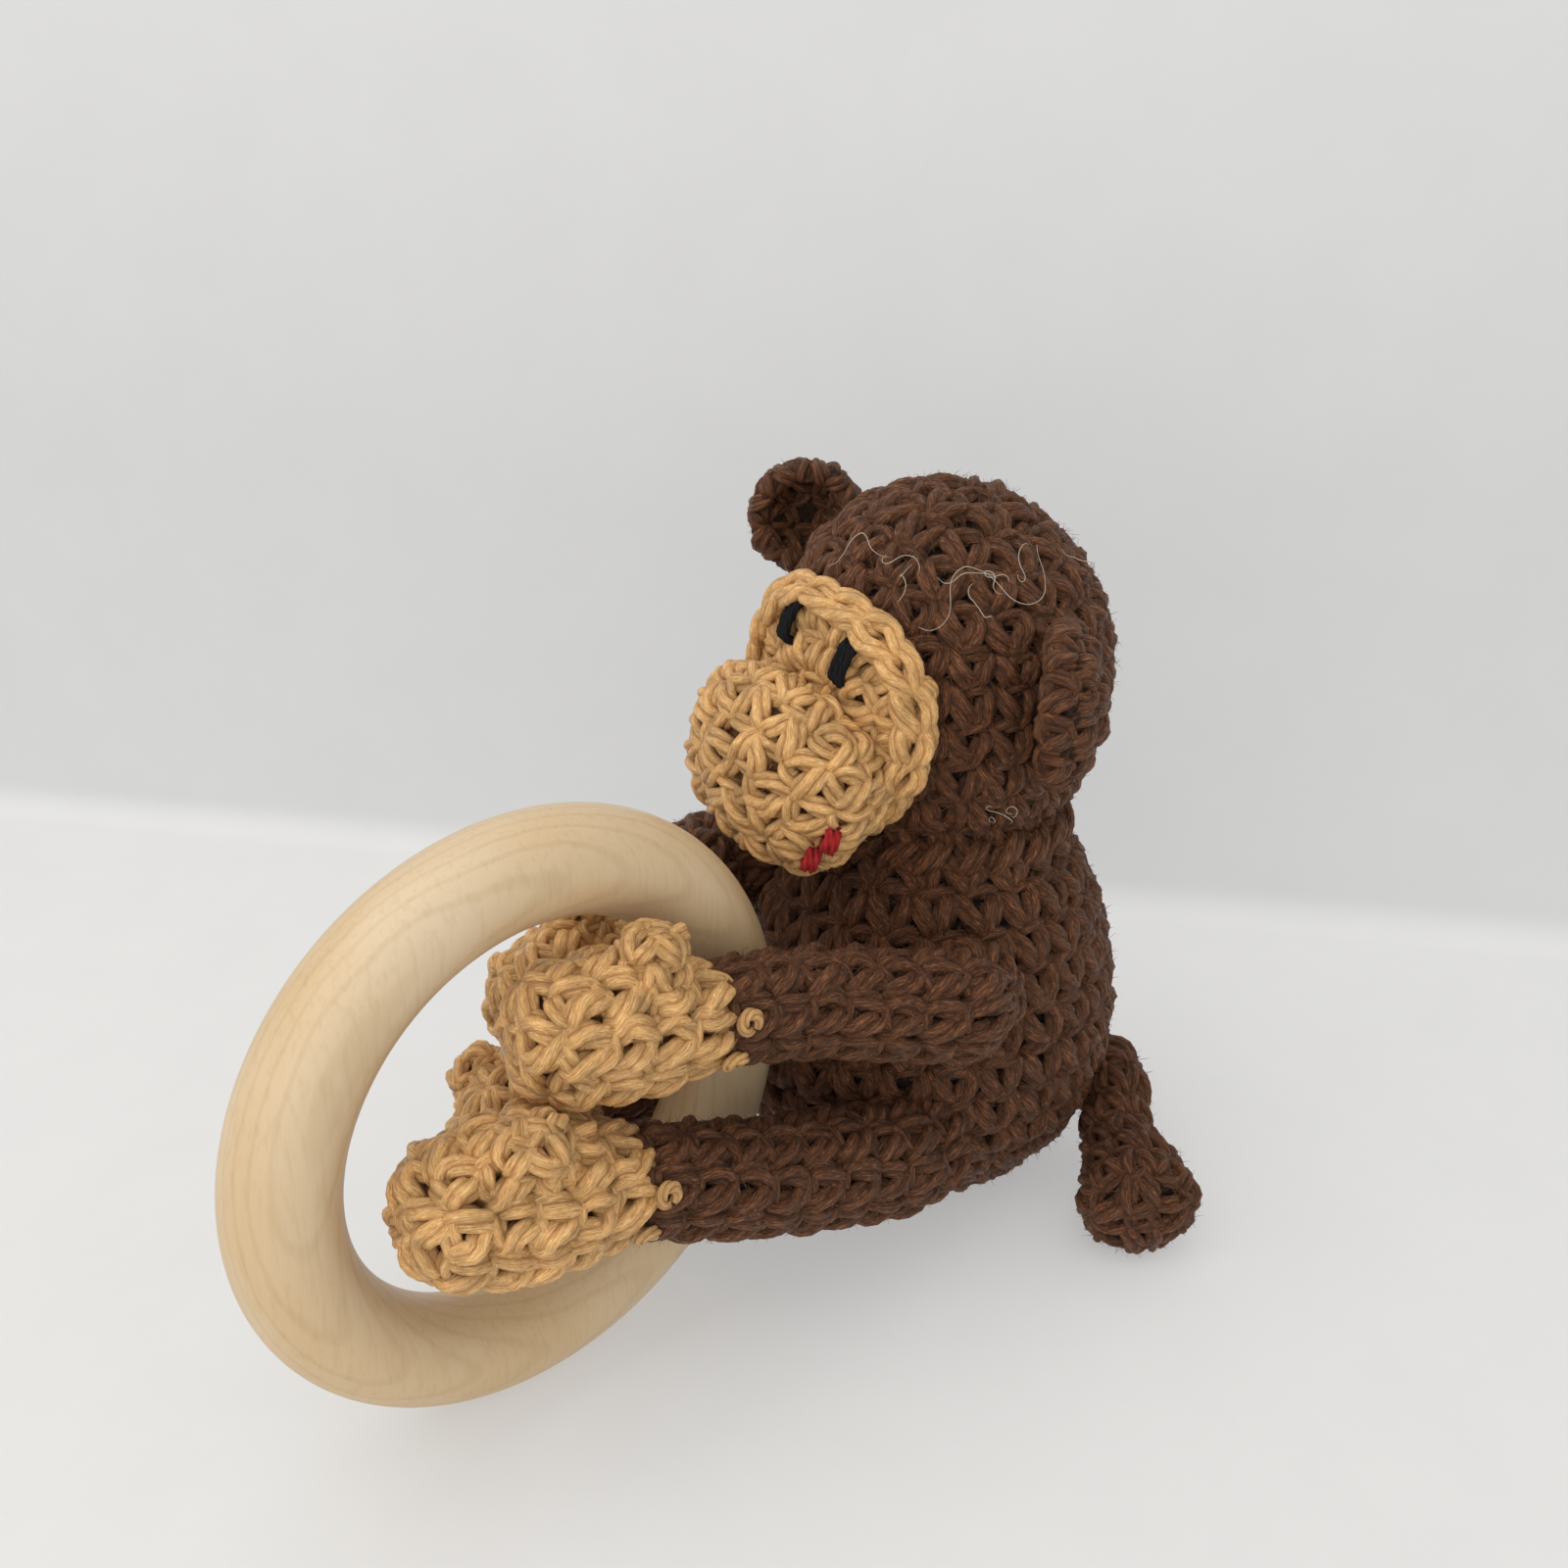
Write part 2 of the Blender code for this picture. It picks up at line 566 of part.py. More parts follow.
def split_rows(path, cuff, inset, tip):
    """Rows of the limb up to the cuff, rows beyond it, and the pole of the rounded end."""
    rows, pole = sweep(path, LIMB_SIDES, inset=inset, tip=tip)
    along = (Vector(path[cuff + 1][0]) - Vector(path[cuff - 1][0])).normalized()
    near = [point - along * (0.5 * GAP) for point in rows[cuff]]
    far = [point + along * (0.5 * GAP) for point in rows[cuff]]
    return rows[:cuff] + [near], [far] + rows[cuff + 1:], pole


def rooted(rows, root, body, gap):
    """Rows with a seam row laid on the body before them."""
    seam = seat_on(rows[0], root, body, gap)
    return [seam, between(seam, rows[0], 0.55)] + rows


def build_limb(name, limb, body):
    """A crocheted tube sewn to the body, its closed tan end, and the fibre in both."""
    root = Vector(limb["root"]).normalized()
    outer, outer_end, outer_pole = split_rows(limb["path"], limb["cuff"], 0.0, 4)
    inner, inner_end, inner_pole = split_rows(limb["path"], limb["cuff"], WALL, 3)
    outer = rooted(outer, root, body, 1.25 * GAP)
    pivot = mean(outer[0])
    add_object(name, *sleeve_mesh(outer, rooted(inner, root, body, 1.25 * GAP)), "brown_yarn",
               pivot)
    end = shell_mesh(outer_end, outer_pole, inner_end, inner_pole)
    add_object(limb["end"], *end, "tan_yarn", Vector(limb["path"][limb["cuff"]][0]))
    fill, pole = sweep(limb["path"], LIMB_SIDES, inset=WALL + GAP, tip=3)
    middle = seat_on([Vector(limb["path"][0][0])], root, body, 2.1 * GAP)[0]
    add_object(f"{name}_stuffing", *solid_mesh(rooted(fill, root, body, 2.1 * GAP), middle, pole),
               "white_fibre", pivot)
    return tree_of(*end)


def build_bud(name, host, base, direction, reach, radius):
    """A small unstuffed cup, open at its base, sewn on a hand or foot."""
    way = Vector(direction).normalized()
    start = Vector(base)
    neck = start + way * (reach - 0.85 * radius)
    points = [(neck - way * 0.01, radius), (neck, radius)]
    walls = []
    for inset, tip in ((0.0, 3), (WALL * 0.75, 2)):
        rows, pole = sweep(points, 12, start_up=(0, 1, 0), inset=inset, tip=tip,
                           tip_length=0.85)
        walls.append(([seat_on(rows[0], way, host, 1.5 * GAP)] + rows[1:], pole))
    mesh = shell_mesh(walls[0][0], walls[0][1], walls[1][0], walls[1][1])
    add_object(name, *mesh, "tan_yarn", start)


def tail_rows(inset, tip, body, gap):
    """Rows of the tail, kept clear of the body it curls past."""
    root = Vector(TAIL_ROOT).normalized()
    rows, pole = sweep(TAIL, LIMB_SIDES, inset=inset, tip=tip, tip_length=0.42)
    rows = rooted(rows, root, body, min(gap, 3 * GAP))
    rows[1:] = [[clear_of(body, point, gap) for point in row] for row in rows[1:]]
    return rows, pole


def build_tail(body):
    outer, outer_pole = tail_rows(0.0, 5, body, 2.4 * GAP)
    inner, inner_pole = tail_rows(WALL, 4, body, 5 * GAP)
    inner[0] = tail_rows(WALL, 4, body, 2.4 * GAP)[0][0]
    fill, fill_pole = tail_rows(WALL + 1.5 * GAP, 3, body, 7 * GAP)
    pivot = mean(outer[0])
    add_object("tail", *shell_mesh(outer, outer_pole, inner, inner_pole), "brown_yarn", pivot)
    add_object("tail_stuffing", *solid_mesh(fill, mean(fill[0]), fill_pole), "white_fibre",
               pivot)


def build():
    clear_scene()
    build_ring()
    body = build_body()
    build_body_stuffing()
    build_capsule()
    build_beads()
    head, pivot = build_head()
    build_face(head, pivot)
    build_ears(head, pivot)
    hosts = {limb["end"]: build_limb(name, limb, body) for name, limb in LIMBS.items()}
    for name, (host, base, way, reach, radius) in BUDS.items():
        build_bud(name, hosts[host], base, way, reach, radius)
    build_tail(body)


build()
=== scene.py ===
"""The looks of the crocheted monkey rattle with its wooden teething ring.

Every crocheted piece is built from its own yarn: rounds of single crochet are laid over the
shape of the piece, and each stitch is a few short strands of twisted four-ply yarn.
The shapes are given in millimetres in the toy's own frame, with the ring's centre over
x = 0, y = 0, the monkey facing -Y and the floor at z = 0; ORIGIN takes them to the row frame.
"""
import json
from math import cos, pi, radians, sin

import bmesh
import bpy
import numpy as np
from mathutils import Matrix, Vector
from mathutils.bvhtree import BVHTree


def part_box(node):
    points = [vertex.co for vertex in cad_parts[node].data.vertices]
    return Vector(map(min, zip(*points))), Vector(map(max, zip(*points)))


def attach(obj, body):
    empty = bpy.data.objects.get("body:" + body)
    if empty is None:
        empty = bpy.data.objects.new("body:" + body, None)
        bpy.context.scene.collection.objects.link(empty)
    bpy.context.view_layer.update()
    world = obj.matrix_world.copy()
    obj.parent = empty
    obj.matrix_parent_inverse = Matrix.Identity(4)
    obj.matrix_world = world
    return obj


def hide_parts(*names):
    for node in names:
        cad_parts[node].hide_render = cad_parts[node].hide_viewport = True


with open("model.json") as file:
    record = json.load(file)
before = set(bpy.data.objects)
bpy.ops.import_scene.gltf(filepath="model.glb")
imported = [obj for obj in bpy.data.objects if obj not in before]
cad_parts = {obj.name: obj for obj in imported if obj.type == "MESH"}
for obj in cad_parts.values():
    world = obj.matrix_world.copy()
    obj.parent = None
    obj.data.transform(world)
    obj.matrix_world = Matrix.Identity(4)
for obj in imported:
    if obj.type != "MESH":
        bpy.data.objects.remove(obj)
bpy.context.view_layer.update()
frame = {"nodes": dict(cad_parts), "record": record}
RNG = np.random.default_rng(7)

MM = 0.001
ORIGIN = np.array((7.37, 27.55, 0.0))

# camera
EYE = (129.3, -83.0, 134.3)
LOOK_AT = (0.0, 38.8, 62.5)
LENS = 37.125

# the line where the paper sweep turns up behind the toy, and the radius of that turn
WALL_LEFT = (-218.0, 13.5, 0.0)
WALL_RIGHT = (39.0, 192.5, 0.0)
WALL_BEND = 5.0
WALL_SHADE_FADE = 0.25             # metres of height over which the painted shade on the wall changes
PAPER_PAINTED_GLOW = 0.35            # the paper's glow: painted light that lifts the shadows cast on it and lights whatever stands on it from below
FLOOR_GAP = 0.06             # yarn that would sink into the floor is pressed flat on it

# yarn and stitches
YARN = 1.58                  # yarn radius
STITCH_WIDE = 5.7
STITCH_TALL = 5.3
SINK = 1.20                  # how far the yarn's middle lies under the outer surface
PLIES = 4
FUZZ_RADIUS = 0.045
ROUND_LEAN = 0.28            # how far each round of stitches slips past the one before

RING_MAJOR = 29.0
RING_TUBE = 6.0
RING_HEIGHT = 34.98
RING_LEAN = radians(2.12)

BODY_AXIS = (0.6, 65.6)
BELLY = 5.4                  # how much fuller the belly is at the front
BELLY_MIDDLE = 21.0
BELLY_HALF = 26.0            # half the height over which the belly fades out
BODY_ROWS = [(0.0, 9.6), (1.1, 12.4), (3.4, 15.4), (7.4, 18.9), (12.6, 21.9), (19.0, 23.9),
             (26.0, 24.5), (33.5, 23.7), (40.5, 21.7), (46.5, 19.0), (50.5, 16.8), (53.0, 15.3)]

HEAD_ROWS = [((0.6, 65.6, 53.4), 15.3), ((0.6, 65.6, 56.0), 17.0), ((0.7, 65.6, 60.5), 19.0),
             ((0.8, 65.6, 66.5), 20.3), ((1.1, 65.7, 73.0), 20.7), ((1.7, 65.8, 79.5), 19.9),
             ((2.7, 65.9, 85.0), 17.3), ((3.8, 66.0, 89.5), 13.0), ((4.6, 66.0, 92.4), 7.6)]
HEAD_TOP = (5.0, 66.0, 93.8)
HEAD_CENTRE = np.array((1.0, 65.8, 74.5))
HEAD_ROLL = radians(15.0)
PATCH_MIDDLE = (0.0, -4.0)
PATCH_HALF = 13.0            # the chain edge reaches a little past this
PATCH_KNOT = 0.10            # turn round the patch, from its left side up
MUZZLE_MIDDLE = (0.0, -8.9)
MUZZLE_HALF = (12.5, 8.2)
MUZZLE_REACH = 13.0
MUZZLE_DROOP = 1.8
MUZZLE_SHAPE = [(0.12, 1.06, 1.14), (0.32, 1.13, 1.34), (0.52, 1.12, 1.42), (0.70, 1.00, 1.30),
                (0.84, 0.80, 1.04), (0.94, 0.54, 0.70), (0.985, 0.28, 0.36)]

# pale hairs caught on the head: degrees round it from +X, height, heading in degrees from
# level, length, how many degrees each one bends, and the number of its bends
LINT_HAIRS = [(-58, 83, 15, 30, 70, 3), (-66, 86, 60, 9, 90, 1), (-30, 91, 100, 8, 120, 1),
              (-25, 90, 20, 9, 150, 2), (-38, 90, -150, 7, 100, 1), (-20, 91, -60, 8, 160, 1),
              (-100, 91, 20, 13, 80, 2), (-60, 92, 70, 8, 140, 1), (25, 88, 90, 6, 60, 1),
              (-32, 60, 200, 6, 160, 1), (-24, 58, -40, 5, 190, 1), (-30, 57, 80, 5, 150, 1)]
LINT_RADIUS = 0.055
LINT_START = 22.0            # hairs start this far from the head's middle line

EARS = {"left_ear": ((25.2, 61.0, 73.2), (8.2, 9.2), radians(6.0), radians(-56.0)),
        "right_ear": ((-22.0, 63.8, 87.6), (7.2, 7.1), radians(-32.0), radians(40.0))}
EAR_DEPTH = 6.0
EAR_WALL = 2.2

# limbs: centre and radius from the body outwards; the brown tube ends at the sixth point
LIMBS = {
    "left_arm": ("left_hand", (0.62, -0.78, 0.03),
                 [((22.6, 47.0, 39.0), 6.2), ((21.4, 42.2, 40.0), 6.2), ((18.6, 36.0, 41.5), 6.1),
                  ((15.4, 29.0, 43.2), 6.0), ((13.4, 22.0, 44.6), 5.9), ((12.1, 15.6, 45.5), 5.8),
                  ((10.7, 10.0, 46.6), 7.3), ((9.3, 4.6, 47.5), 7.9), ((8.4, -0.8, 48.2), 7.4)]),
    "right_arm": ("right_hand", (-0.62, -0.78, 0.03),
                  [((-21.0, 48.4, 43.2), 6.3), ((-20.6, 43.4, 43.8), 6.3),
                   ((-18.6, 37.0, 43.6), 6.2), ((-15.6, 30.5, 42.8), 6.0),
                   ((-13.4, 25.8, 42.2), 5.9), ((-12.0, 21.6, 41.8), 5.8),
                   ((-10.5, 17.0, 41.5), 7.0), ((-9.2, 12.6, 41.3), 7.6),
                   ((-8.6, 8.0, 41.0), 7.0)]),
    "left_leg": ("left_foot", (0.28, -0.95, 0.14),
                 [((17.2, 42.4, 17.8), 7.0), ((17.0, 37.0, 19.0), 6.8), ((16.4, 29.0, 21.4), 6.5),
                  ((15.6, 20.0, 24.2), 6.3), ((14.4, 11.0, 27.6), 6.2), ((13.1, 2.6, 30.9), 6.1),
                  ((11.6, -3.4, 32.2), 8.1), ((10.0, -9.4, 33.4), 8.8),
                  ((9.3, -15.6, 34.2), 7.6)]),
    "right_leg": ("right_foot", (-0.28, -0.95, 0.14),
                  [((-16.4, 42.8, 16.6), 7.0), ((-16.4, 38.0, 17.4), 6.8),
                   ((-16.0, 31.0, 19.0), 6.5), ((-15.2, 24.0, 21.0), 6.3),
                   ((-14.0, 18.0, 23.0), 6.2), ((-12.9, 13.0, 24.4), 6.1),
                   ((-11.4, 9.0, 24.9), 7.7), ((-9.4, 6.0, 25.2), 8.2),
                   ((-8.8, 3.0, 25.8), 7.5)])}
CUFF = 5
TIP_LENGTH = 0.75

BUDS = {"left_thumb": ((10.6, 8.6, 47.2), (0.10, 0.10, 1.0), 11.2, 3.9),
        "right_thumb": ((-10.2, 14.6, 41.4), (-0.05, 0.10, 1.0), 10.6, 3.8),
        "left_big_toe": ((11.0, -5.4, 32.6), (0.34, -0.34, 0.88), 13.2, 4.1),
        "right_big_toe": ((-10.2, 6.6, 25.0), (-0.80, -0.25, 0.55), 11.6, 3.9)}

TAIL = [((20.2, 82.2, 12.6), 4.8), ((24.2, 77.6, 10.2), 4.7), ((28.8, 73.2, 9.0), 5.2),
        ((33.2, 69.4, 8.5), 6.8), ((36.3, 66.4, 8.0), 7.6)]
TAIL_ROOT = (0.90, 0.38, -0.22)


# ---------------------------------------------------------------- small tools

def unit(v):
    v = np.asarray(v, float)
    return v / np.maximum(np.linalg.norm(v, axis=-1, keepdims=True), 1e-9)


def spline(points, count):
    """A smooth curve through points (..., K, 3), sampled at count places along axis -2."""
    points = np.asarray(points, float)
    last = points.shape[-2] - 1
    t = np.linspace(0.0, last, count)
    k = np.minimum(t.astype(int), last - 1)
    u = (t - k)[:, None]
    p1 = points[..., k, :]
    p2 = points[..., k + 1, :]
    p0 = points[..., np.maximum(k - 1, 0), :]
    p3 = points[..., np.minimum(k + 2, last), :]
    p0 = np.where((k == 0)[:, None], 2 * p1 - p2, p0)
    p3 = np.where((k == last - 1)[:, None], 2 * p2 - p1, p3)
    return 0.5 * (2 * p1 + (p2 - p0) * u + (2 * p0 - 5 * p1 + 4 * p2 - p3) * u ** 2
                  + (3 * p1 - p0 - 3 * p2 + p3) * u ** 3)


def circle(centre, side, up, half_side, half_up, count=48):
    turn = np.linspace(0, 2 * pi, count, endpoint=False)[:, None]
    return (np.asarray(centre) + np.asarray(side) * (half_side * np.cos(turn))
            + np.asarray(up) * (half_up * np.sin(turn)))


def carried(centres, start_up):
    """Side and up vectors carried along a path without twisting."""
    up = np.asarray(start_up, float)
    last = len(centres) - 1
    result = []
    for k in range(last + 1):
        along = unit(centres[min(k + 1, last)] - centres[max(k - 1, 0)])
        up = unit(up - along * up.dot(along))
        result.append((along, unit(np.cross(up, along)), up))
    return result


def sweep_rows(points, start_up=(0, 0, 1), tip_length=TIP_LENGTH, tip=True):
    """Rows of points round a path of (centre, radius), with a rounded closed end."""
    centres = np.array([p[0] for p in points], float)
    radii = np.array([p[1] for p in points], float)
    dense = spline(np.c_[centres, radii], 6 * len(points))
    axes = carried(dense[:, :3], start_up)
    rows = [circle(c[:3], side, up, c[3], c[3]) for c, (_, side, up) in zip(dense, axes)]
    if tip:
        along, side, up = axes[-1]
        for turn in np.linspace(0, pi / 2, 9)[1:]:
            middle = dense[-1, :3] + along * (dense[-1, 3] * tip_length * sin(turn))
            rows.append(circle(middle, side, up, *[max(dense[-1, 3] * cos(turn), 0.02)] * 2))
    return rows


class Surface:
    """A grid of rows of points, sampled by distance along the rows and angle round them."""

    def __init__(self, rows, outward=None, tube=False):
        grid = np.array(rows, float)
        grid = spline(grid.transpose(1, 0, 2), 4 * len(rows)).transpose(1, 0, 2)
        steps = np.linalg.norm(np.diff(grid, axis=0), axis=2).mean(axis=1)
        reach = np.concatenate([[0.0], np.cumsum(steps)])
        even = np.linspace(0, reach[-1], max(int(reach[-1] / 0.4), 24))
        place = np.interp(even, reach, np.arange(len(reach)))
        low = np.minimum(place.astype(int), len(reach) - 2)
        share = (place - low)[:, None, None]
        self.grid = grid[low] * (1 - share) + grid[low + 1] * share
        self.length = reach[-1]
        self.rows, self.count = self.grid.shape[:2]
        down = np.gradient(self.grid, axis=0)
        across = np.roll(self.grid, -1, axis=1) - np.roll(self.grid, 1, axis=1)
        normal = unit(np.cross(across, down))
        middle = self.grid.mean(axis=1, keepdims=True)
        body = self.grid[len(self.grid) // 2]
        if ((body - body.mean(axis=0)) * normal[len(normal) // 2]).sum() < 0:
            normal = -normal
        if outward is not None and (normal.mean(axis=(0, 1)) @ np.asarray(outward)) < 0:
            normal = -normal
        if tube:
            away = unit(self.grid - middle)
            folded = (normal * away).sum(axis=2) < -0.05
            normal[folded] = away[folded]
        for _ in range(3):
            inner = (np.roll(normal, 1, 0) + np.roll(normal, -1, 0))
            inner[0] = normal[1] * 2
            inner[-1] = normal[-2] * 2
            normal = unit(normal * 2 + inner + np.roll(normal, 1, 1) + np.roll(normal, -1, 1))
        self.normal = normal
        ends = self.grid - np.roll(self.grid, 1, axis=1)
        self.round = np.linalg.norm(ends, axis=2).sum(axis=1)
        self.middle = middle[:, 0]

    def girth(self, s):
        return np.interp(s, np.linspace(0, self.length, self.rows), self.round)

    def at(self, s, turn):
        """Points and normals at distances s along the rows and angles turn (in turns)."""
        row = np.clip(s / self.length, 0, 1) * (self.rows - 1)
        low = np.minimum(row.astype(int), self.rows - 2)
        a = (row - low)[..., None]
        col = (turn % 1.0) * self.count
        left = col.astype(int) % self.count
        right = (left + 1) % self.count
        b = (col - np.floor(col))[..., None]

        def mix(values):
            upper = values[low, left] * (1 - b) + values[low, right] * b
            lower = values[low + 1, left] * (1 - b) + values[low + 1, right] * b
            return upper * (1 - a) + lower * a

        return mix(self.grid), unit(mix(self.normal))


# ---------------------------------------------------------------- yarn

class Yarn:
    """Collects strands and turns them into one mesh."""

    def __init__(self):
        self.parts = []

    def strands(self, paths, normals, radius, sides=20, steps=11, twist=18.0, taper=0.30,
                heights=None):
        """paths (N, K, 3) with surface normals (N, K, 3): one twisted tube for each."""
        line = spline(paths, steps)
        normal = spline(np.asarray(normals, float), steps)
        count = len(line)
        along = unit(np.gradient(line, axis=1))
        side = unit(np.cross(along, normal))
        up = unit(np.cross(side, along))
        run = np.concatenate([np.zeros((count, 1)),
                              np.cumsum(np.linalg.norm(np.diff(line, axis=1), axis=2), 1)], 1)
        radius = np.broadcast_to(np.asarray(radius, float).reshape(-1, 1), (count, steps))
        place = np.linspace(0, 1, steps)[None]
        thick = radius * (1 - taper * np.abs(2 * place - 1) ** 3)
        turn = np.linspace(0, 2 * pi, sides, endpoint=False)
        wedge = 2 * pi / PLIES
        local = (turn + 0.5 * wedge) % wedge - 0.5 * wedge
        ply = 0.53 * np.cos(local) + np.sqrt(0.47 ** 2 - (0.53 * np.sin(local)) ** 2)
        start = RNG.uniform(0, 2 * pi, (count, 1))
        angle = turn[None, None] + (start + run * (2 * pi / twist))[..., None]
        reach = thick[..., None] * ply
        points = (line[:, :, None] + side[:, :, None] * (reach * np.cos(angle))[..., None]
                  + up[:, :, None] * (reach * np.sin(angle))[..., None])
        # the height of each point of the yarn over its stitch, which the yarn materials turn into
        # painted shade low in the gaps; strands given no heights count as lying high
        rise = reach * np.sin(angle)
        if heights is not None:
            rise = rise + spline(np.repeat(heights[..., None], 3, -1), steps)[..., :1]
        else:
            rise = rise + 1.0
        offset = RNG.integers(0, 40, (count, 1, 1)) * 2.0
        uv = np.stack([np.broadcast_to(run[..., None] + 1.37 * offset, reach.shape),
                       np.broadcast_to(turn / (2 * pi) * 8 + offset, reach.shape)], axis=-1)
        self.parts.append((points, rise, uv))

    def mesh(self, name, extra=()):
        """One mesh object of every strand, then the extra (verts, quads, slot) sets."""
        verts = []
        loops = []
        sizes = []
        slots = []
        uvs = []
        rises = []
        base = 0
        for points, rise, uv in self.parts:
            count, steps, sides, _ = points.shape
            verts.append(points.reshape(-1, 3))
            rises.append(rise.reshape(-1))
            index = base + np.arange(count * steps * sides).reshape(count, steps, sides)
            a = index[:, :-1]
            b = index[:, 1:]
            quads = np.stack([a, np.roll(a, -1, 2), np.roll(b, -1, 2), b], axis=-1)
            loops.append(quads.reshape(-1))
            sizes.append(np.full(quads.size // 4, 4))
            wrap = np.roll(uv, -1, 2).copy()
            wrap[:, :, -1, 1] = uv[:, :, -1, 1] + 8 / sides
            corner = np.stack([uv[:, :-1], wrap[:, :-1], wrap[:, 1:], uv[:, 1:]], axis=-2)
            uvs.append(corner.reshape(-1, 2))
            caps = [index[:, 0, ::-1], index[:, -1]]
            for cap, row in zip(caps, (0, -1)):
                loops.append(cap.reshape(-1))
                sizes.append(np.full(count, sides))
                uvs.append(uv[:, row].reshape(-1, 2))
            slots.append(np.zeros(quads.size // 4 + 2 * count))
            base += count * steps * sides
        for points, faces, slot in extra:
            faces = np.asarray(faces)
            verts.append(np.asarray(points, float))
            loops.append((faces + base).reshape(-1))
            sizes.append(np.full(len(faces), faces.shape[1]))
            uvs.append(np.asarray(points)[faces.reshape(-1)][:, :2])
            slots.append(np.full(len(faces), slot))
            rises.append(np.zeros(len(points)))
            base += len(points)
        verts = np.concatenate(verts)
        verts[:, 2] = np.maximum(verts[:, 2], FLOOR_GAP)
        return make_mesh(name, verts, np.concatenate(loops), np.concatenate(sizes),
                         np.concatenate(slots), np.concatenate(uvs), np.concatenate(rises))


def placed(name, data):
    item = bpy.data.objects.new(name, data)
    bpy.context.scene.collection.objects.link(item)
    return item


def make_mesh(name, verts, loops, sizes, slots, uvs, rises=None):
    mesh = bpy.data.meshes.new(name)
    mesh.vertices.add(len(verts))
    mesh.vertices.foreach_set("co", ((verts - ORIGIN) * MM).astype(np.float32).ravel())
    mesh.loops.add(len(loops))
    mesh.loops.foreach_set("vertex_index", loops.astype(np.int32))
    mesh.polygons.add(len(sizes))
    starts = np.concatenate([[0], np.cumsum(sizes)[:-1]])
    mesh.polygons.foreach_set("loop_start", starts.astype(np.int32))
    mesh.polygons.foreach_set("material_index", slots.astype(np.int32))
    layer = mesh.uv_layers.new(name="UVMap")
    layer.uv.foreach_set("vector", uvs.astype(np.float32).ravel())
    # the yarn's heights, kept for the painted shade between the stitches
    if rises is not None:
        layer = mesh.attributes.new("height", "FLOAT", "POINT")
        layer.data.foreach_set("value", rises.astype(np.float32))
    mesh.update(calc_edges=True)
    mesh.polygons.foreach_set("use_smooth", np.ones(len(sizes), bool))
    return placed(name, mesh)


# places in a crocheted piece's materials
YARN_SLOT = 0
# the dark sheet under the stitches: painted shade in the gaps between them
SHADE_SHEET_SLOT = 1
HAIR_SLOT = 2

# stitch strands: (x along the round, y up the rows, z out), in stitch widths, heights and mm
LEG_LEFT = [(0.06, -0.26, -1.25), (-0.08, 0.00, 0.10), (-0.25, 0.34, 0.50),
            (-0.37, 0.64, -0.05), (-0.42, 0.82, -1.30)]
LEG_RIGHT = [(-0.02, -0.24, -1.30), (0.17, 0.00, -0.05), (0.33, 0.36, 0.34),
             (0.37, 0.68, -0.20), (0.28, 0.88, -1.35)]
BAR = [(-0.52, 0.58, -1.50), (-0.24, 0.80, -0.20), (0.18, 0.84, -0.05), (0.52, 0.66, -1.45)]
RIDGE_OVER = [(-0.52, -0.42, -1.1), (-0.26, -0.10, 0.35), (0.14, 0.20, 0.45), (0.50, 0.44, -1.2)]
RIDGE_BACK = [(-0.40, 0.46, -1.3), (-0.10, 0.24, -0.20), (0.26, -0.16, -0.15),
              (0.52, -0.44, -1.3)]


def lay(surface, template, s, turn, wide, tall, sink, jitter):
    """Strand paths for one template at every stitch, following the surface."""
    shape = np.array(template)
    noise = RNG.normal(0, jitter, (len(s), len(shape), 3))
    y = s[:, None] + (shape[:, 1] + noise[..., 1]) * tall[:, None]
    girth = np.maximum(surface.girth(np.clip(y, 0, surface.length)), 3.2)
    x = turn[:, None] + (shape[:, 0] + noise[..., 0]) * wide[:, None] / girth
    point, normal = surface.at(y, x)
    height = shape[:, 2] + noise[..., 2] * 2.2
    return point + normal * (height - sink)[..., None], normal, height


def stitches(surface, start, stop, wide, tall, shift):
    """Distances, angles and sizes of the stitches in rounds from start to stop."""
    rounds = max(int(round((stop - start) / tall)), 1)
    height = (stop - start) / rounds
    places = []
    for k in range(rounds):
        s = start + k * height
        girth = float(surface.girth(np.array(min(s + 0.5 * height, surface.length))))
        count = max(int(round(girth / wide)), 4)
        shift += ROUND_LEAN / count + RNG.uniform(-0.1, 0.1) / count
        for j in range(count):
            places.append((s, (j + shift) / count, girth / count, height))
    return np.array(places)


def crochet(yarn, surface, start, stop, radius=YARN, sink=SINK, sides=20, steps=11,
            wide=STITCH_WIDE, tall=STITCH_TALL, jitter=0.035, phase=0.0):
    """Rounds of single crochet all over a surface."""
    s, turn, broad, high = stitches(surface, start, stop, wide, tall, phase).T
    high = np.maximum(high, 3.0)
    for template, size in ((LEG_LEFT, 1.0), (LEG_RIGHT, 0.97), (BAR, 0.88)):
        path, normal, height = lay(surface, template, s, turn, broad, high, sink, jitter)
        thick = radius * size * RNG.uniform(0.9, 1.1, len(s))
        thick *= np.clip(broad / wide, 0.72, 1.1)
        yarn.strands(path, normal, thick, sides, steps, heights=height)


def under_layer(surface, depth, slot, start=0, stop=None):
    """A closed skin under the stitches, so that nothing inside shows between them; in the dark slot
    it is painted shade seen through the gaps.
    """
    stop = surface.rows if stop is None else stop
    pick = np.unique(np.append(np.arange(start, stop, 3), stop - 1))
    grid = surface.grid[pick, ::2] - surface.normal[pick, ::2] * depth
    ends = [np.repeat(end.mean(1, keepdims=True), grid.shape[1], 1)
            for end in (grid[:1], grid[-1:])]
    grid = np.concatenate([ends[0], grid, ends[1]])
    rows, count = grid.shape[:2]
    index = np.arange(rows * count).reshape(rows, count)
    a = index[:-1]
    b = index[1:]
    quads = np.stack([a, b, np.roll(b, -1, 1), np.roll(a, -1, 1)], -1).reshape(-1, 4)
    return grid.reshape(-1, 3), quads, slot


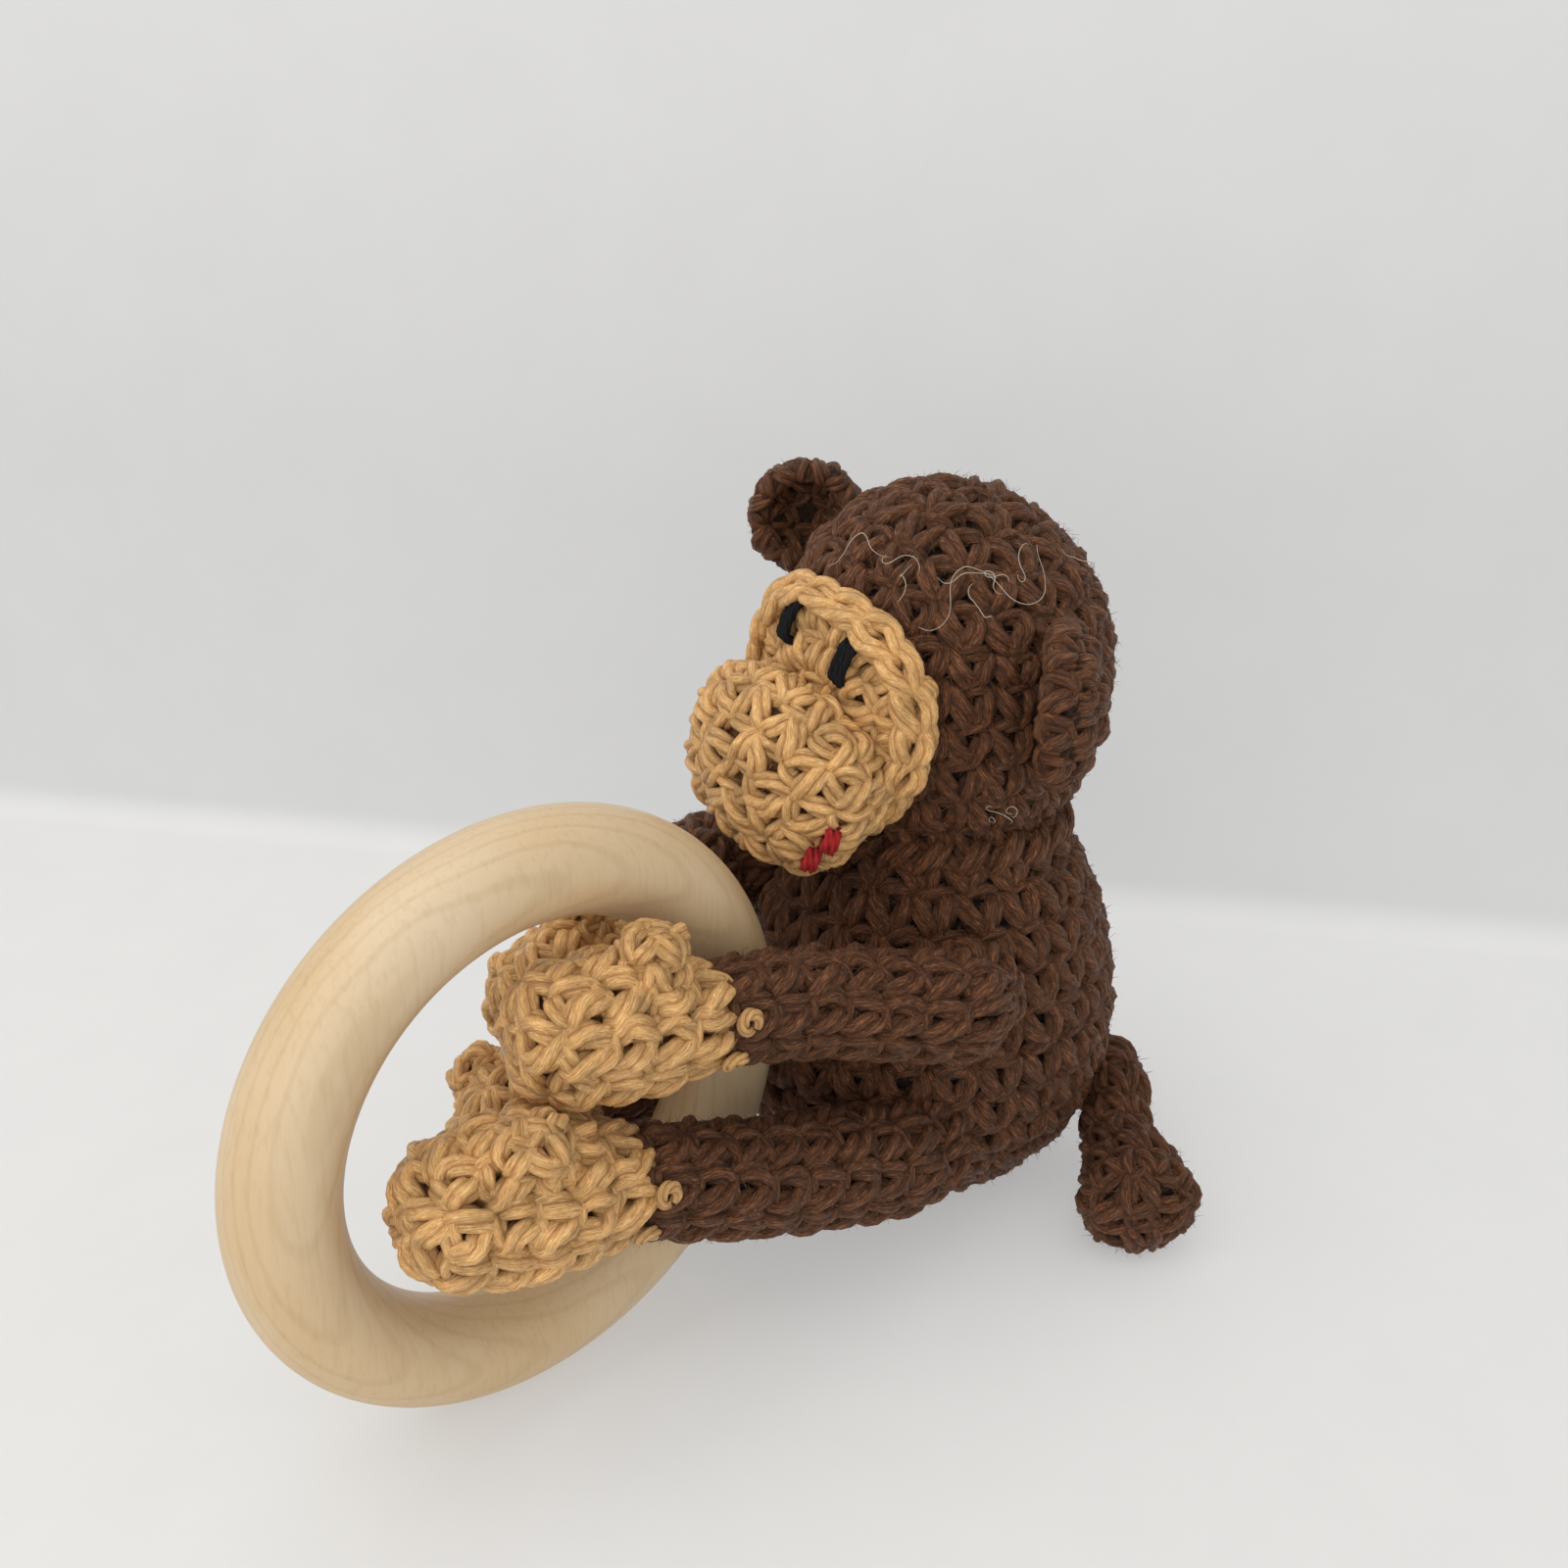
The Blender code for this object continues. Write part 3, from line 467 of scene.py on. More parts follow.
def fuzz(surface, count, length, start=0.0, stop=None):
    """Short loose fibres standing off the yarn, as thin three-sided hairs."""
    stop = surface.length if stop is None else stop
    s = RNG.uniform(start, stop, count)
    keep = RNG.uniform(0, 1, count) < surface.girth(s) / surface.round.max()
    s = s[keep]
    turn = RNG.uniform(0, 1, len(s))
    point, normal = surface.at(s, turn)
    drift = unit(RNG.normal(0, 1, (len(s), 3)))
    drift -= normal * (drift * normal).sum(1, keepdims=True)
    size = (length * RNG.uniform(0.4, 1.0, len(s)))[:, None]
    bend = unit(RNG.normal(0, 1, (len(s), 3)))
    steps = []
    for t in (0.0, 0.4, 0.75, 1.0):
        steps.append(point - normal * 0.8 + normal * size * (0.2 + 0.75 * t) * min(t * 3, 1)
                     * 0.62 + drift * size * t * 0.75 + bend * size * t * t * 0.35)
    line = np.stack(steps, 1)
    side = unit(np.cross(drift, normal))
    other = unit(np.cross(side, drift))
    verts = []
    for k, thin in enumerate((1.0, 0.9, 0.7, 0.3)):
        for turn_k in (0.0, 2.1, 4.2):
            verts.append(line[:, k] + (side * cos(turn_k) + other * sin(turn_k)) * FUZZ_RADIUS * thin)
    verts = np.stack(verts, 1)
    faces = []
    for k in range(3):
        for j in range(3):
            m = (j + 1) % 3
            faces.append((3 * k + j, 3 * k + m, 3 * k + 3 + m, 3 * k + 3 + j))
    base = (np.arange(len(verts)) * 12)[:, None, None]
    quads = (base + np.array(faces)[None]).reshape(-1, 4)
    return verts.reshape(-1, 3), quads, HAIR_SLOT


# ---------------------------------------------------------------- materials

def settle(node, values):
    """Set a node's own sockets, and its properties where it has no such socket."""
    for key, value in values.items():
        if key in node.inputs:
            node.inputs[key].default_value = value
        else:
            setattr(node, key, value)
    return node


def add(tree, kind, **values):
    return settle(tree.nodes.new(kind), values)


def new_material(name, colour, roughness, **values):
    material = bpy.data.materials.new(name)
    material.use_nodes = True
    shader = material.node_tree.nodes["Principled BSDF"]
    settle(shader, {"Base Color": (*colour, 1), "Roughness": roughness, **values})
    return material, material.node_tree, shader


def ramp(tree, source, *stops):
    node = add(tree, "ShaderNodeValToRGB")
    items = node.color_ramp.elements
    while len(items) < len(stops):
        items.new(0.5)
    for item, (place, colour) in zip(items, stops):
        item.position = place
        item.color = (*colour, 1)
    tree.links.new(source, node.inputs["Fac"])
    return node.outputs["Color"]


def scaled(tree, source, scale):
    node = add(tree, "ShaderNodeMapping", Scale=scale)
    tree.links.new(source, node.inputs["Vector"])
    return node.outputs["Vector"]


def noise(tree, vector, scale, detail=3.0, rough=0.55, distort=0.0):
    node = add(tree, "ShaderNodeTexNoise", Scale=scale, Detail=detail, Roughness=rough,
               Distortion=distort)
    tree.links.new(vector, node.inputs["Vector"])
    return node.outputs["Fac"]


def mixed(tree, factor, a, b, mode="MIX"):
    node = add(tree, "ShaderNodeMix", data_type="RGBA", blend_type=mode)
    for socket, value in ((node.inputs[0], factor), (node.inputs[6], a), (node.inputs[7], b)):
        if hasattr(value, "links"):
            tree.links.new(value, socket)
        elif isinstance(value, tuple):
            socket.default_value = (*value, 1)
        else:
            socket.default_value = value
    return node.outputs[2]


def calculated(tree, operation, source, value=None):
    """A Math node's result."""
    node = add(tree, "ShaderNodeMath", operation=operation)
    if value is not None:
        node.inputs[1].default_value = value
    tree.links.new(source, node.inputs[0])
    return node.outputs[0]


def part_of(tree, vector, axis):
    node = add(tree, "ShaderNodeSeparateXYZ")
    tree.links.new(vector, node.inputs[0])
    return node.outputs[axis]


def bumped(tree, shader, height, strength, distance):
    node = add(tree, "ShaderNodeBump", Strength=strength, Distance=distance)
    tree.links.new(height, node.inputs["Height"])
    tree.links.new(node.outputs["Normal"], shader.inputs["Normal"])


def yarn_material(name, dark, base, light, roughness, sheen, tint, bump, ply_groove_shade, gap_shade):
    """Spun yarn: fine fibres along the plies, painted shade in the grooves between them with a
    painted highlight on the ply crests, uneven dye, and painted shade in the gaps between stitches
    where the yarn lies low, with a slight painted highlight where it stands highest.
    """
    material, tree, shader = new_material(
        name, base, roughness, **{"Sheen Weight": sheen, "Sheen Roughness": 0.45,
                                  "Sheen Tint": (*tint, 1), "Specular Tint": (*tint, 1)})
    uv = add(tree, "ShaderNodeUVMap", uv_map="UVMap").outputs["UV"]
    place = add(tree, "ShaderNodeTexCoord").outputs["Object"]
    fibres = noise(tree, scaled(tree, uv, (0.42, 2.6, 1)), 3.0, 5.0, 0.7, 0.6)
    blotch = noise(tree, place, 330.0, 3.0, 0.6)
    colour = ramp(tree, fibres, (0.30, dark), (0.49, base), (0.70, light))
    # painted shade in the grooves between the plies, and a painted highlight on their crests
    angle = calculated(tree, "MULTIPLY", part_of(tree, uv, "Y"), pi / 2)
    ridge = calculated(tree, "ABSOLUTE", calculated(tree, "COSINE", angle))
    painted_ply_shading = ramp(tree, ridge, (0.0, ply_groove_shade), (0.38, (0.96, 0.95, 0.94)),
                  (1.0, (1.10, 1.10, 1.10)))
    shade = ramp(tree, blotch, (0.3, (0.72, 0.71, 0.70)), (0.7, (1.18, 1.16, 1.14)))
    colour = mixed(tree, 1.0, colour, shade, "MULTIPLY")
    colour = mixed(tree, 0.85, colour, painted_ply_shading, "MULTIPLY")
    # painted shade: yarn lying low between the stitches is darkened towards the gap shade colour, and
    # the highest yarn gets a slight painted highlight
    height = add(tree, "ShaderNodeAttribute", attribute_name="height").outputs["Fac"]
    reach = add(tree, "ShaderNodeMapRange", **{"From Min": -1.3, "From Max": 1.6})
    tree.links.new(height, reach.inputs["Value"])
    depth = ramp(tree, reach.outputs["Result"], (0.05, gap_shade), (0.78, (1.0, 1.0, 1.0)),
                 (1.0, (1.15, 1.14, 1.12)))
    colour = mixed(tree, 1.0, colour, depth, "MULTIPLY")
    tree.links.new(colour, shader.inputs["Base Color"])
    bumped(tree, shader, fibres, bump, 0.0003)
    return material


def hair_material(name, colour):
    material, tree, shader = new_material(
        name, colour, 0.6, **{"Sheen Weight": 0.1, "Sheen Roughness": 0.45,
                              "Sheen Tint": (1, 0.8, 0.6, 1), "Specular Tint": (1, 0.75, 0.55, 1)})
    place = add(tree, "ShaderNodeTexCoord").outputs["Object"]
    tint = noise(tree, place, 900.0, 2.0)
    dark = tuple(0.7 * c for c in colour)
    tree.links.new(ramp(tree, tint, (0.3, dark), (0.7, colour)), shader.inputs["Base Color"])
    return material


def wood_material():
    """Sanded pale maple: growth layers across the ring's width, cut into long curves."""
    material, tree, shader = new_material("maple_wood", (0.70, 0.52, 0.33), 0.42,
                                          **{"Coat Weight": 0.12, "Coat Roughness": 0.3})
    place = add(tree, "ShaderNodeTexCoord").outputs["Object"]
    warp = noise(tree, scaled(tree, place, (40.0, 14.0, 9.0)), 1.0, 2.0, 0.5)
    shift = add(tree, "ShaderNodeVectorMath", operation="SCALE", Scale=0.0045)
    tree.links.new(warp, shift.inputs[0])
    moved = add(tree, "ShaderNodeVectorMath", operation="ADD")
    tree.links.new(place, moved.inputs[0])
    tree.links.new(shift.outputs[0], moved.inputs[1])
    layers = add(tree, "ShaderNodeTexWave", wave_type="BANDS", bands_direction="X", Scale=210.0,
                 Distortion=3.2, Detail=3.0, **{"Detail Scale": 0.35})
    turned = add(tree, "ShaderNodeMapping", Rotation=(0.0, radians(5), radians(7)))
    tree.links.new(moved.outputs[0], turned.inputs["Vector"])
    tree.links.new(turned.outputs["Vector"], layers.inputs["Vector"])
    lines = ramp(tree, layers.outputs["Fac"], (0.0, (0.88, 0.85, 0.79)), (0.26, (1, 1, 1)),
                 (0.9, (1.0, 1.0, 1.0)))
    broad = noise(tree, scaled(tree, place, (60.0, 20.0, 20.0)), 1.6, 2.0)
    body = ramp(tree, broad, (0.3, (0.60, 0.42, 0.22)), (0.5, (0.64, 0.475, 0.285)),
                (0.72, (0.68, 0.535, 0.36)))
    pores = noise(tree, scaled(tree, place, (1500.0, 1500.0, 160.0)), 1.0, 2.0, 0.6)
    flecks = ramp(tree, pores, (0.33, (0.90, 0.87, 0.83)), (0.5, (1, 1, 1)))
    colour = mixed(tree, 0.55, body, lines, "MULTIPLY")
    colour = mixed(tree, 0.6, colour, flecks, "MULTIPLY")
    tree.links.new(colour, shader.inputs["Base Color"])
    bumped(tree, shader, pores, 0.12, 0.0003)
    return material


def plain_detail(name, dark, light, roughness, scale):
    """A grainy material: fibre filling, moulded plastic and the near-black painted shade in the
    depths between stitches.
    """
    material, tree, shader = new_material(name, light, roughness)
    place = add(tree, "ShaderNodeTexCoord").outputs["Object"]
    grain = noise(tree, place, scale, 4.0, 0.7, 1.0)
    tree.links.new(ramp(tree, grain, (0.3, dark), (0.7, light)), shader.inputs["Base Color"])
    bumped(tree, shader, grain, 0.3, 0.0005)
    return material


# the last two colours of each yarn are painted shade: in the grooves between the plies and in the
# gaps between the stitches
BROWN = yarn_material("brown_yarn", (0.009, 0.0031, 0.0016), (0.061, 0.0212, 0.0094),
                      (0.35, 0.145, 0.064), 0.50, 0.05, (1.0, 0.70, 0.52), 0.9,
                      (0.36, 0.30, 0.26), (0.12, 0.10, 0.09))
TAN = yarn_material("tan_yarn", (0.30, 0.128, 0.039), (0.58, 0.33, 0.125),
                    (0.88, 0.62, 0.315), 0.32, 0.04, (1.0, 0.88, 0.66), 0.7,
                    (0.58, 0.42, 0.28), (0.34, 0.22, 0.13))
BLACK = yarn_material("black_thread", (0.0015, 0.0015, 0.0015), (0.004, 0.004, 0.0045),
                      (0.016, 0.016, 0.018), 0.85, 0.0, (0.6, 0.6, 0.65), 0.8,
                      (0.4, 0.4, 0.4), (0.5, 0.5, 0.5))
RED = yarn_material("red_thread", (0.13, 0.003, 0.004), (0.36, 0.010, 0.012),
                    (0.62, 0.05, 0.05), 0.7, 0.05, (1.0, 0.5, 0.5), 0.8,
                    (0.5, 0.3, 0.3), (0.4, 0.3, 0.3))
# painted shade: near-black sheets under the stitches, for the shade in the gaps between them
BROWN_SHADE_SHEET = plain_detail("brown_painted_shade", (0.004, 0.0015, 0.001), (0.016, 0.006, 0.003),
                          0.95, 900.0)
TAN_SHADE_SHEET = plain_detail("tan_painted_shade", (0.07, 0.027, 0.009), (0.20, 0.085, 0.028),
                        0.95, 900.0)
BROWN_HAIR = hair_material("brown_fuzz", (0.15, 0.062, 0.029))
TAN_HAIR = hair_material("tan_fuzz", (0.85, 0.66, 0.40))
LINT = hair_material("pale_lint", (0.52, 0.46, 0.38))
MAPLE = wood_material()
FIBRE = plain_detail("white_fibre", (0.62, 0.62, 0.60), (0.90, 0.90, 0.88), 0.95, 700.0)
PLASTIC = plain_detail("clear_plastic", (0.72, 0.75, 0.78), (0.86, 0.88, 0.90), 0.3, 300.0)
BEADS = plain_detail("bead_plastic", (0.70, 0.40, 0.06), (0.88, 0.58, 0.12), 0.3, 300.0)


def dress(item, body, look, nodes):
    """Give a piece the materials of its look and its body, and hide the CAD nodes that it stands for.
    """
    slot, *materials = look
    for material in materials:
        item.data.materials.append(material)
    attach(item, body)
    if nodes:
        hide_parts(*nodes)
    return item


# a look is the name of a slot and its materials
BROWN_LOOK = ("brown_yarn", BROWN, BROWN_SHADE_SHEET, BROWN_HAIR)
TAN_LOOK = ("tan_yarn", TAN, TAN_SHADE_SHEET, TAN_HAIR)


# ---------------------------------------------------------------- pieces

def body_surface():
    rows = [circle((*BODY_AXIS, 0.0), (1, 0, 0), (0, 1, 0), r, r) for r in (0.05, 4.0, 8.0)]
    heights = spline(np.array([(z, r, 0.0) for z, r in BODY_ROWS]), 4 * len(BODY_ROWS))
    for z, r, _ in heights:
        rows.append(circle((*BODY_AXIS, z), (1, 0, 0), (0, 1, 0), r, r))
    rows.append(circle((*BODY_AXIS, 53.6), (1, 0, 0), (0, 1, 0), 13.6, 13.6))
    rows = np.array(rows)
    front = np.clip(-(rows[..., 1] - BODY_AXIS[1]) / 24.0, 0, 1)
    height = np.clip(1 - ((rows[..., 2] - BELLY_MIDDLE) / BELLY_HALF) ** 2, 0, 1)
    rows[..., 1] -= BELLY * front ** 1.3 * height
    return Surface(rows)


def head_surface():
    dense = spline(np.array([(*c, r) for c, r in HEAD_ROWS]), 4 * len(HEAD_ROWS))
    axes = carried(dense[:, :3], (0, 1, 0))
    rows = [circle(d[:3], side, up, d[3], d[3]) for d, (_, side, up) in zip(dense, axes)]
    rows.insert(0, circle(HEAD_ROWS[0][0] - np.array((0, 0, 0.3)), axes[0][1], axes[0][2],
                          13.4, 13.4))
    top = np.array(HEAD_TOP)
    last = dense[-1]
    for share in (0.45, 0.8, 0.995):
        middle = last[:3] + (top - last[:3]) * (1 - (1 - share) ** 2)
        rows.append(circle(middle, axes[-1][1], axes[-1][2], *[last[3] * (1 - share ** 2)] * 2))
    return Surface(rows)


def build_body():
    surface = body_surface()
    yarn = Yarn()
    crochet(yarn, surface, 2.0, surface.length - 1.0, sides=14, steps=8)
    item = yarn.mesh("body_crochet", [under_layer(surface, 1.7, SHADE_SHEET_SLOT)])
    dress(item, "toy_body", BROWN_LOOK, ["body_skin"])
    item = Yarn().mesh("body_fuzz", [fuzz(surface, 7500, 2.6, start=11)])
    dress(item, "toy_body", BROWN_LOOK, [])


def build_head():
    surface = head_surface()
    yarn = Yarn()
    crochet(yarn, surface, 0.0, surface.length - 1.5, sides=16, steps=10, phase=0.4)
    item = yarn.mesh("head_crochet", [under_layer(surface, 1.7, SHADE_SHEET_SLOT)])
    dress(item, "head", BROWN_LOOK, ["head_skin"])
    item = Yarn().mesh("head_fuzz", [fuzz(surface, 7500, 2.6)])
    dress(item, "head", BROWN_LOOK, [])


def build_neck():
    """The sewn join of head and body: a proud round of stitches just below the seam."""
    rows = [circle((*BODY_AXIS, z), (1, 0, 0), (0, 1, 0), r, r)
            for z, r in ((49.0, 17.2), (51.2, 16.9), (53.0, 16.6), (54.6, 16.9), (56.0, 17.4))]
    surface = Surface(rows)
    yarn = Yarn()
    count = 22
    turn = np.arange(count) / count + RNG.uniform(-0.004, 0.004, count)
    wide = np.full(count, surface.girth(3.5) / count)
    for template, size in ((RIDGE_OVER, 1.0), (RIDGE_BACK, 0.9)):
        path, normal, height = lay(surface, template, np.full(count, 2.6), turn, wide,
                                   np.full(count, 4.6), 0.75, 0.04)
        yarn.strands(path, normal, YARN * size * RNG.uniform(0.9, 1.08, count), 16, 12,
                     heights=height)
    item = yarn.mesh("neck_ridge_stitches", [fuzz(surface, 900, 2.2)])
    dress(item, "toy_body", BROWN_LOOK, [])


def limb_surface(root, path):
    first = np.array(path[0][0]) - unit(root) * 5.5
    points = [(tuple(first), path[0][1])] + path
    return Surface(sweep_rows(points), tube=True)


def place_along(surface, point):
    """Distance along the surface's rows nearest to a point on its path."""
    gaps = np.linalg.norm(surface.middle - np.array(point), axis=1)
    return float(np.argmin(gaps)) / (surface.rows - 1) * surface.length


def build_limb(name, hand, root, path):
    surface = limb_surface(root, path)
    cuff = place_along(surface, path[CUFF][0])
    cut = int(cuff / surface.length * (surface.rows - 1))
    yarn = Yarn()
    crochet(yarn, surface, 1.0, cuff, sides=16, steps=10, tall=5.2, wide=5.5)
    item = yarn.mesh(f"{name}_crochet", [under_layer(surface, 1.7, SHADE_SHEET_SLOT, 0, cut),
                                         fuzz(surface, 3200, 2.2, 3.0, cuff)])
    dress(item, "toy_body", BROWN_LOOK, [name])
    yarn = Yarn()
    crochet(yarn, surface, cuff - 0.4, surface.length - 1.0, sides=20, steps=12, wide=5.9,
            tall=5.0, jitter=0.055)
    outer = 0.0 if name.startswith("left") else 0.5
    for back, aside in ((1.9, 0.03), (0.9, -0.09)):
        knot(yarn, surface, cuff - back, outer + aside, 1.0)
    item = yarn.mesh(f"{hand}_crochet", [under_layer(surface, 1.8, SHADE_SHEET_SLOT, cut - 3),
                                         fuzz(surface, 260, 1.4, cuff)])
    dress(item, "toy_body", TAN_LOOK, [hand])


def knot(yarn, surface, s, turn, size):
    """A small loop of yarn left standing where a strand is fastened off."""
    point, normal = (v[0] for v in surface.at(np.array([s]), np.array([turn])))
    down, _ = (v[0] for v in surface.at(np.array([s + 2.0]), np.array([turn])))
    along = unit(down - point)
    across = unit(np.cross(normal, along))
    loop = []
    for angle in np.linspace(-0.15 * pi, 1.75 * pi, 8):
        loop.append(point + (across * cos(angle) + along * sin(angle)) * size
                    + normal * (0.35 + 0.5 * sin(0.5 * angle)))
    yarn.strands([loop], [[normal] * len(loop)], np.array([0.72]), 16, 22, twist=7.0)


def build_bud(name, base, way, reach, radius):
    way = unit(way)
    start = np.array(base) + way * 1.0
    neck = np.array(base) + way * (reach - 0.85 * radius)
    points = [(tuple(start), radius * 0.94), (tuple(0.5 * (start + neck)), radius),
              (tuple(neck), radius)]
    surface = Surface(sweep_rows(points, (0, 1, 0), 0.85), tube=True)
    yarn = Yarn()
    crochet(yarn, surface, surface.length * 0.30, surface.length - 0.6, sides=20, steps=12,
            wide=4.6, tall=3.9, sink=0.95, radius=1.3, jitter=0.06)
    item = yarn.mesh(f"{name}_crochet", [under_layer(surface, 1.5, SHADE_SHEET_SLOT)])
    dress(item, "toy_body", TAN_LOOK, [name])


def build_tail():
    first = np.array(TAIL[0][0]) - unit(TAIL_ROOT) * 5.0
    points = [(tuple(first), TAIL[0][1])] + TAIL
    surface = Surface(sweep_rows(points, tip_length=0.42), tube=True)
    yarn = Yarn()
    crochet(yarn, surface, 2.5, surface.length - 1.0, sides=16, steps=10, wide=4.9, tall=4.8,
            radius=1.32)
    item = yarn.mesh("tail_crochet", [under_layer(surface, 1.6, SHADE_SHEET_SLOT),
                                      fuzz(surface, 2200, 2.0, 5.0)])
    dress(item, "tail", BROWN_LOOK, ["tail"])


def head_axes():
    turn = Matrix.Rotation(HEAD_ROLL, 3, "Y")
    return np.array(turn @ Vector((1, 0, 0))), np.array(turn @ Vector((0, 0, 1)))


def cad_tree(*names):
    """Ray casting against CAD nodes, in the toy's own frame and millimetres."""
    verts = []
    faces = []
    for name in names:
        item = frame["nodes"][name]
        start = len(verts)
        for v in item.data.vertices:
            point = item.matrix_world @ v.co
            verts.append(tuple(np.array(point) / MM + ORIGIN))
        faces += [tuple(start + k for k in p.vertices) for p in item.data.polygons]
    return BVHTree.FromPolygons(verts, faces)


def on_face(tree, x, z, height):
    """The point on the face straight in from (x, z) of the rolled head, and its normal."""
    side, up = head_axes()
    origin = HEAD_CENTRE + side * x + up * z - np.array((0, 60.0, 0))
    hit, normal, _, _ = tree.ray_cast(Vector(origin), Vector((0, 1, 0)))
    normal = np.array(normal)
    if normal[1] > 0:
        normal = -normal
    return np.array(hit) + normal * height, normal


def superellipse(half, power, count=48):
    turn = np.linspace(0, 2 * pi, count, endpoint=False)
    c = np.cos(turn)
    s = np.sin(turn)
    size = (np.abs(c) ** power + np.abs(s) ** power) ** (-1.0 / power)
    return half[0] * c * size, half[1] * s * size


def build_patch():
    tree = cad_tree("head_skin")
    px, pz = superellipse((PATCH_HALF, PATCH_HALF), 2.4)
    rows = []
    for share in (0.02, 0.2, 0.4, 0.6, 0.8, 0.92, 1.0):
        lift = 2.7 if share < 0.95 else 1.6
        rows.append([on_face(tree, PATCH_MIDDLE[0] + share * x, PATCH_MIDDLE[1] + share * z,
                             lift)[0] for x, z in zip(px, pz)])
    surface = Surface(rows, outward=(0, -1, 0))
    yarn = Yarn()
    crochet(yarn, surface, 1.0, surface.length - 1.2, sides=20, steps=12, wide=5.0, tall=4.3,
            radius=1.3, sink=1.05)
    chain_border(yarn, surface, surface.length - 1.7, 4.6, 1.38)
    knot(yarn, surface, surface.length - 0.6, PATCH_KNOT, 1.1)
    item = yarn.mesh("face_patch_crochet", [under_layer(surface, 1.9, SHADE_SHEET_SLOT)])
    dress(item, "head", TAN_LOOK, ["face_patch"])


def chain_border(yarn, surface, s, step, radius):
    """Chain stitches round the rim: pairs of legs that splay along the edge."""
    girth = float(surface.girth(np.array(s)))
    count = int(girth / step)
    turn = np.arange(count) / count
    for sign in (-1, 1):
        shape = np.array([(-0.40, 0.0, -1.0), (0.05, 0.15 * sign, 0.45), (0.50, 0.27 * sign, 0.75),
                          (0.95, 0.21 * sign, 0.45), (1.22, 0.04 * sign, -0.7)])
        noise_ = RNG.normal(0, 0.03, (count, 5, 3))
        x = turn[:, None] + (shape[:, 0] + noise_[..., 0]) * step / girth
        y = s + (shape[:, 1] + noise_[..., 1]) * 4.4
        point, normal = surface.at(np.clip(y, 0, surface.length), x)
        away = unit(point - surface.middle[-1])
        point = point + away * np.maximum(y - surface.length, 0)[..., None]
        path = point + normal * (shape[:, 2] + 0.1)[..., None]
        yarn.strands(path, normal, radius * RNG.uniform(0.92, 1.08, count), 20, 13)


def build_muzzle():
    tree = cad_tree("face_patch")
    side, up = head_axes()
    rx, rz = superellipse(MUZZLE_HALF, 2.2)
    rim = np.array([on_face(tree, MUZZLE_MIDDLE[0] + x, MUZZLE_MIDDLE[1] + z, 0.2)[0]
                    for x, z in zip(rx, rz)])
    base = rim[:, 1].mean()
    middle = HEAD_CENTRE + side * MUZZLE_MIDDLE[0] + up * MUZZLE_MIDDLE[1]
    middle[1] = base
    rows = [rim]
    for depth, wide, tall in MUZZLE_SHAPE + [(1.0, 0.01, 0.01)]:
        droop = min(1.0, depth / 0.4)
        blend = max(0.0, 1.0 - depth / 0.45)
        flat = (middle + np.outer(rx * wide, side) + np.outer(rz * tall, up)
                - up * (MUZZLE_DROOP * droop))
        flat[:, 1] = base * (1 - blend) + rim[:, 1] * blend - MUZZLE_REACH * depth
        rows.append(flat)
    surface = Surface(rows)
    yarn = Yarn()
    crochet(yarn, surface, 0.2, surface.length - 1.4, sides=24, steps=13, wide=5.5, tall=5.0,
            radius=1.5, jitter=0.055)
    item = yarn.mesh("muzzle_crochet", [under_layer(surface, 1.8, SHADE_SHEET_SLOT),
                                        fuzz(surface, 420, 1.6)])
    dress(item, "head", TAN_LOOK, ["muzzle"])


def build_lint():
    """Pale stray hairs caught on the crown and cheek, each wandering over the skin."""
    skin = cad_tree("head_skin", "left_ear", "body_skin")
    yarn = Yarn()
    steps = 24
    for angle, height, heading, length, bend, turns in LINT_HAIRS:
        way = np.array((cos(radians(angle)), sin(radians(angle)), 0.0))
        point = np.array((*HEAD_CENTRE[:2], height)) + way * LINT_START
        path = []
        normals = []
        for k in range(steps):
            hit, normal, _, _ = skin.find_nearest(Vector(point))
            normal = np.array(normal)
            if (point - np.array(hit)) @ normal < 0:
                normal = -normal
            level = unit(np.cross((0, 0, 1), normal))
            uphill = unit(np.cross(normal, level))
            share = k / (steps - 1)
            now = radians(heading + bend * sin(pi * turns * share) + 25 * sin(9 * share + angle))
            path.append(np.array(hit) + normal * (1.5 + 0.6 * sin(6 * share + height)))
            normals.append(normal)
            point = path[-1] + (level * cos(now) + uphill * sin(now)) * (length / steps)
        yarn.strands([path], [normals], np.array([LINT_RADIUS]), 6, 70, taper=0.5)
    item = yarn.mesh("lint_hairs")
    dress(item, "head", ("tan_yarn", LINT), [])


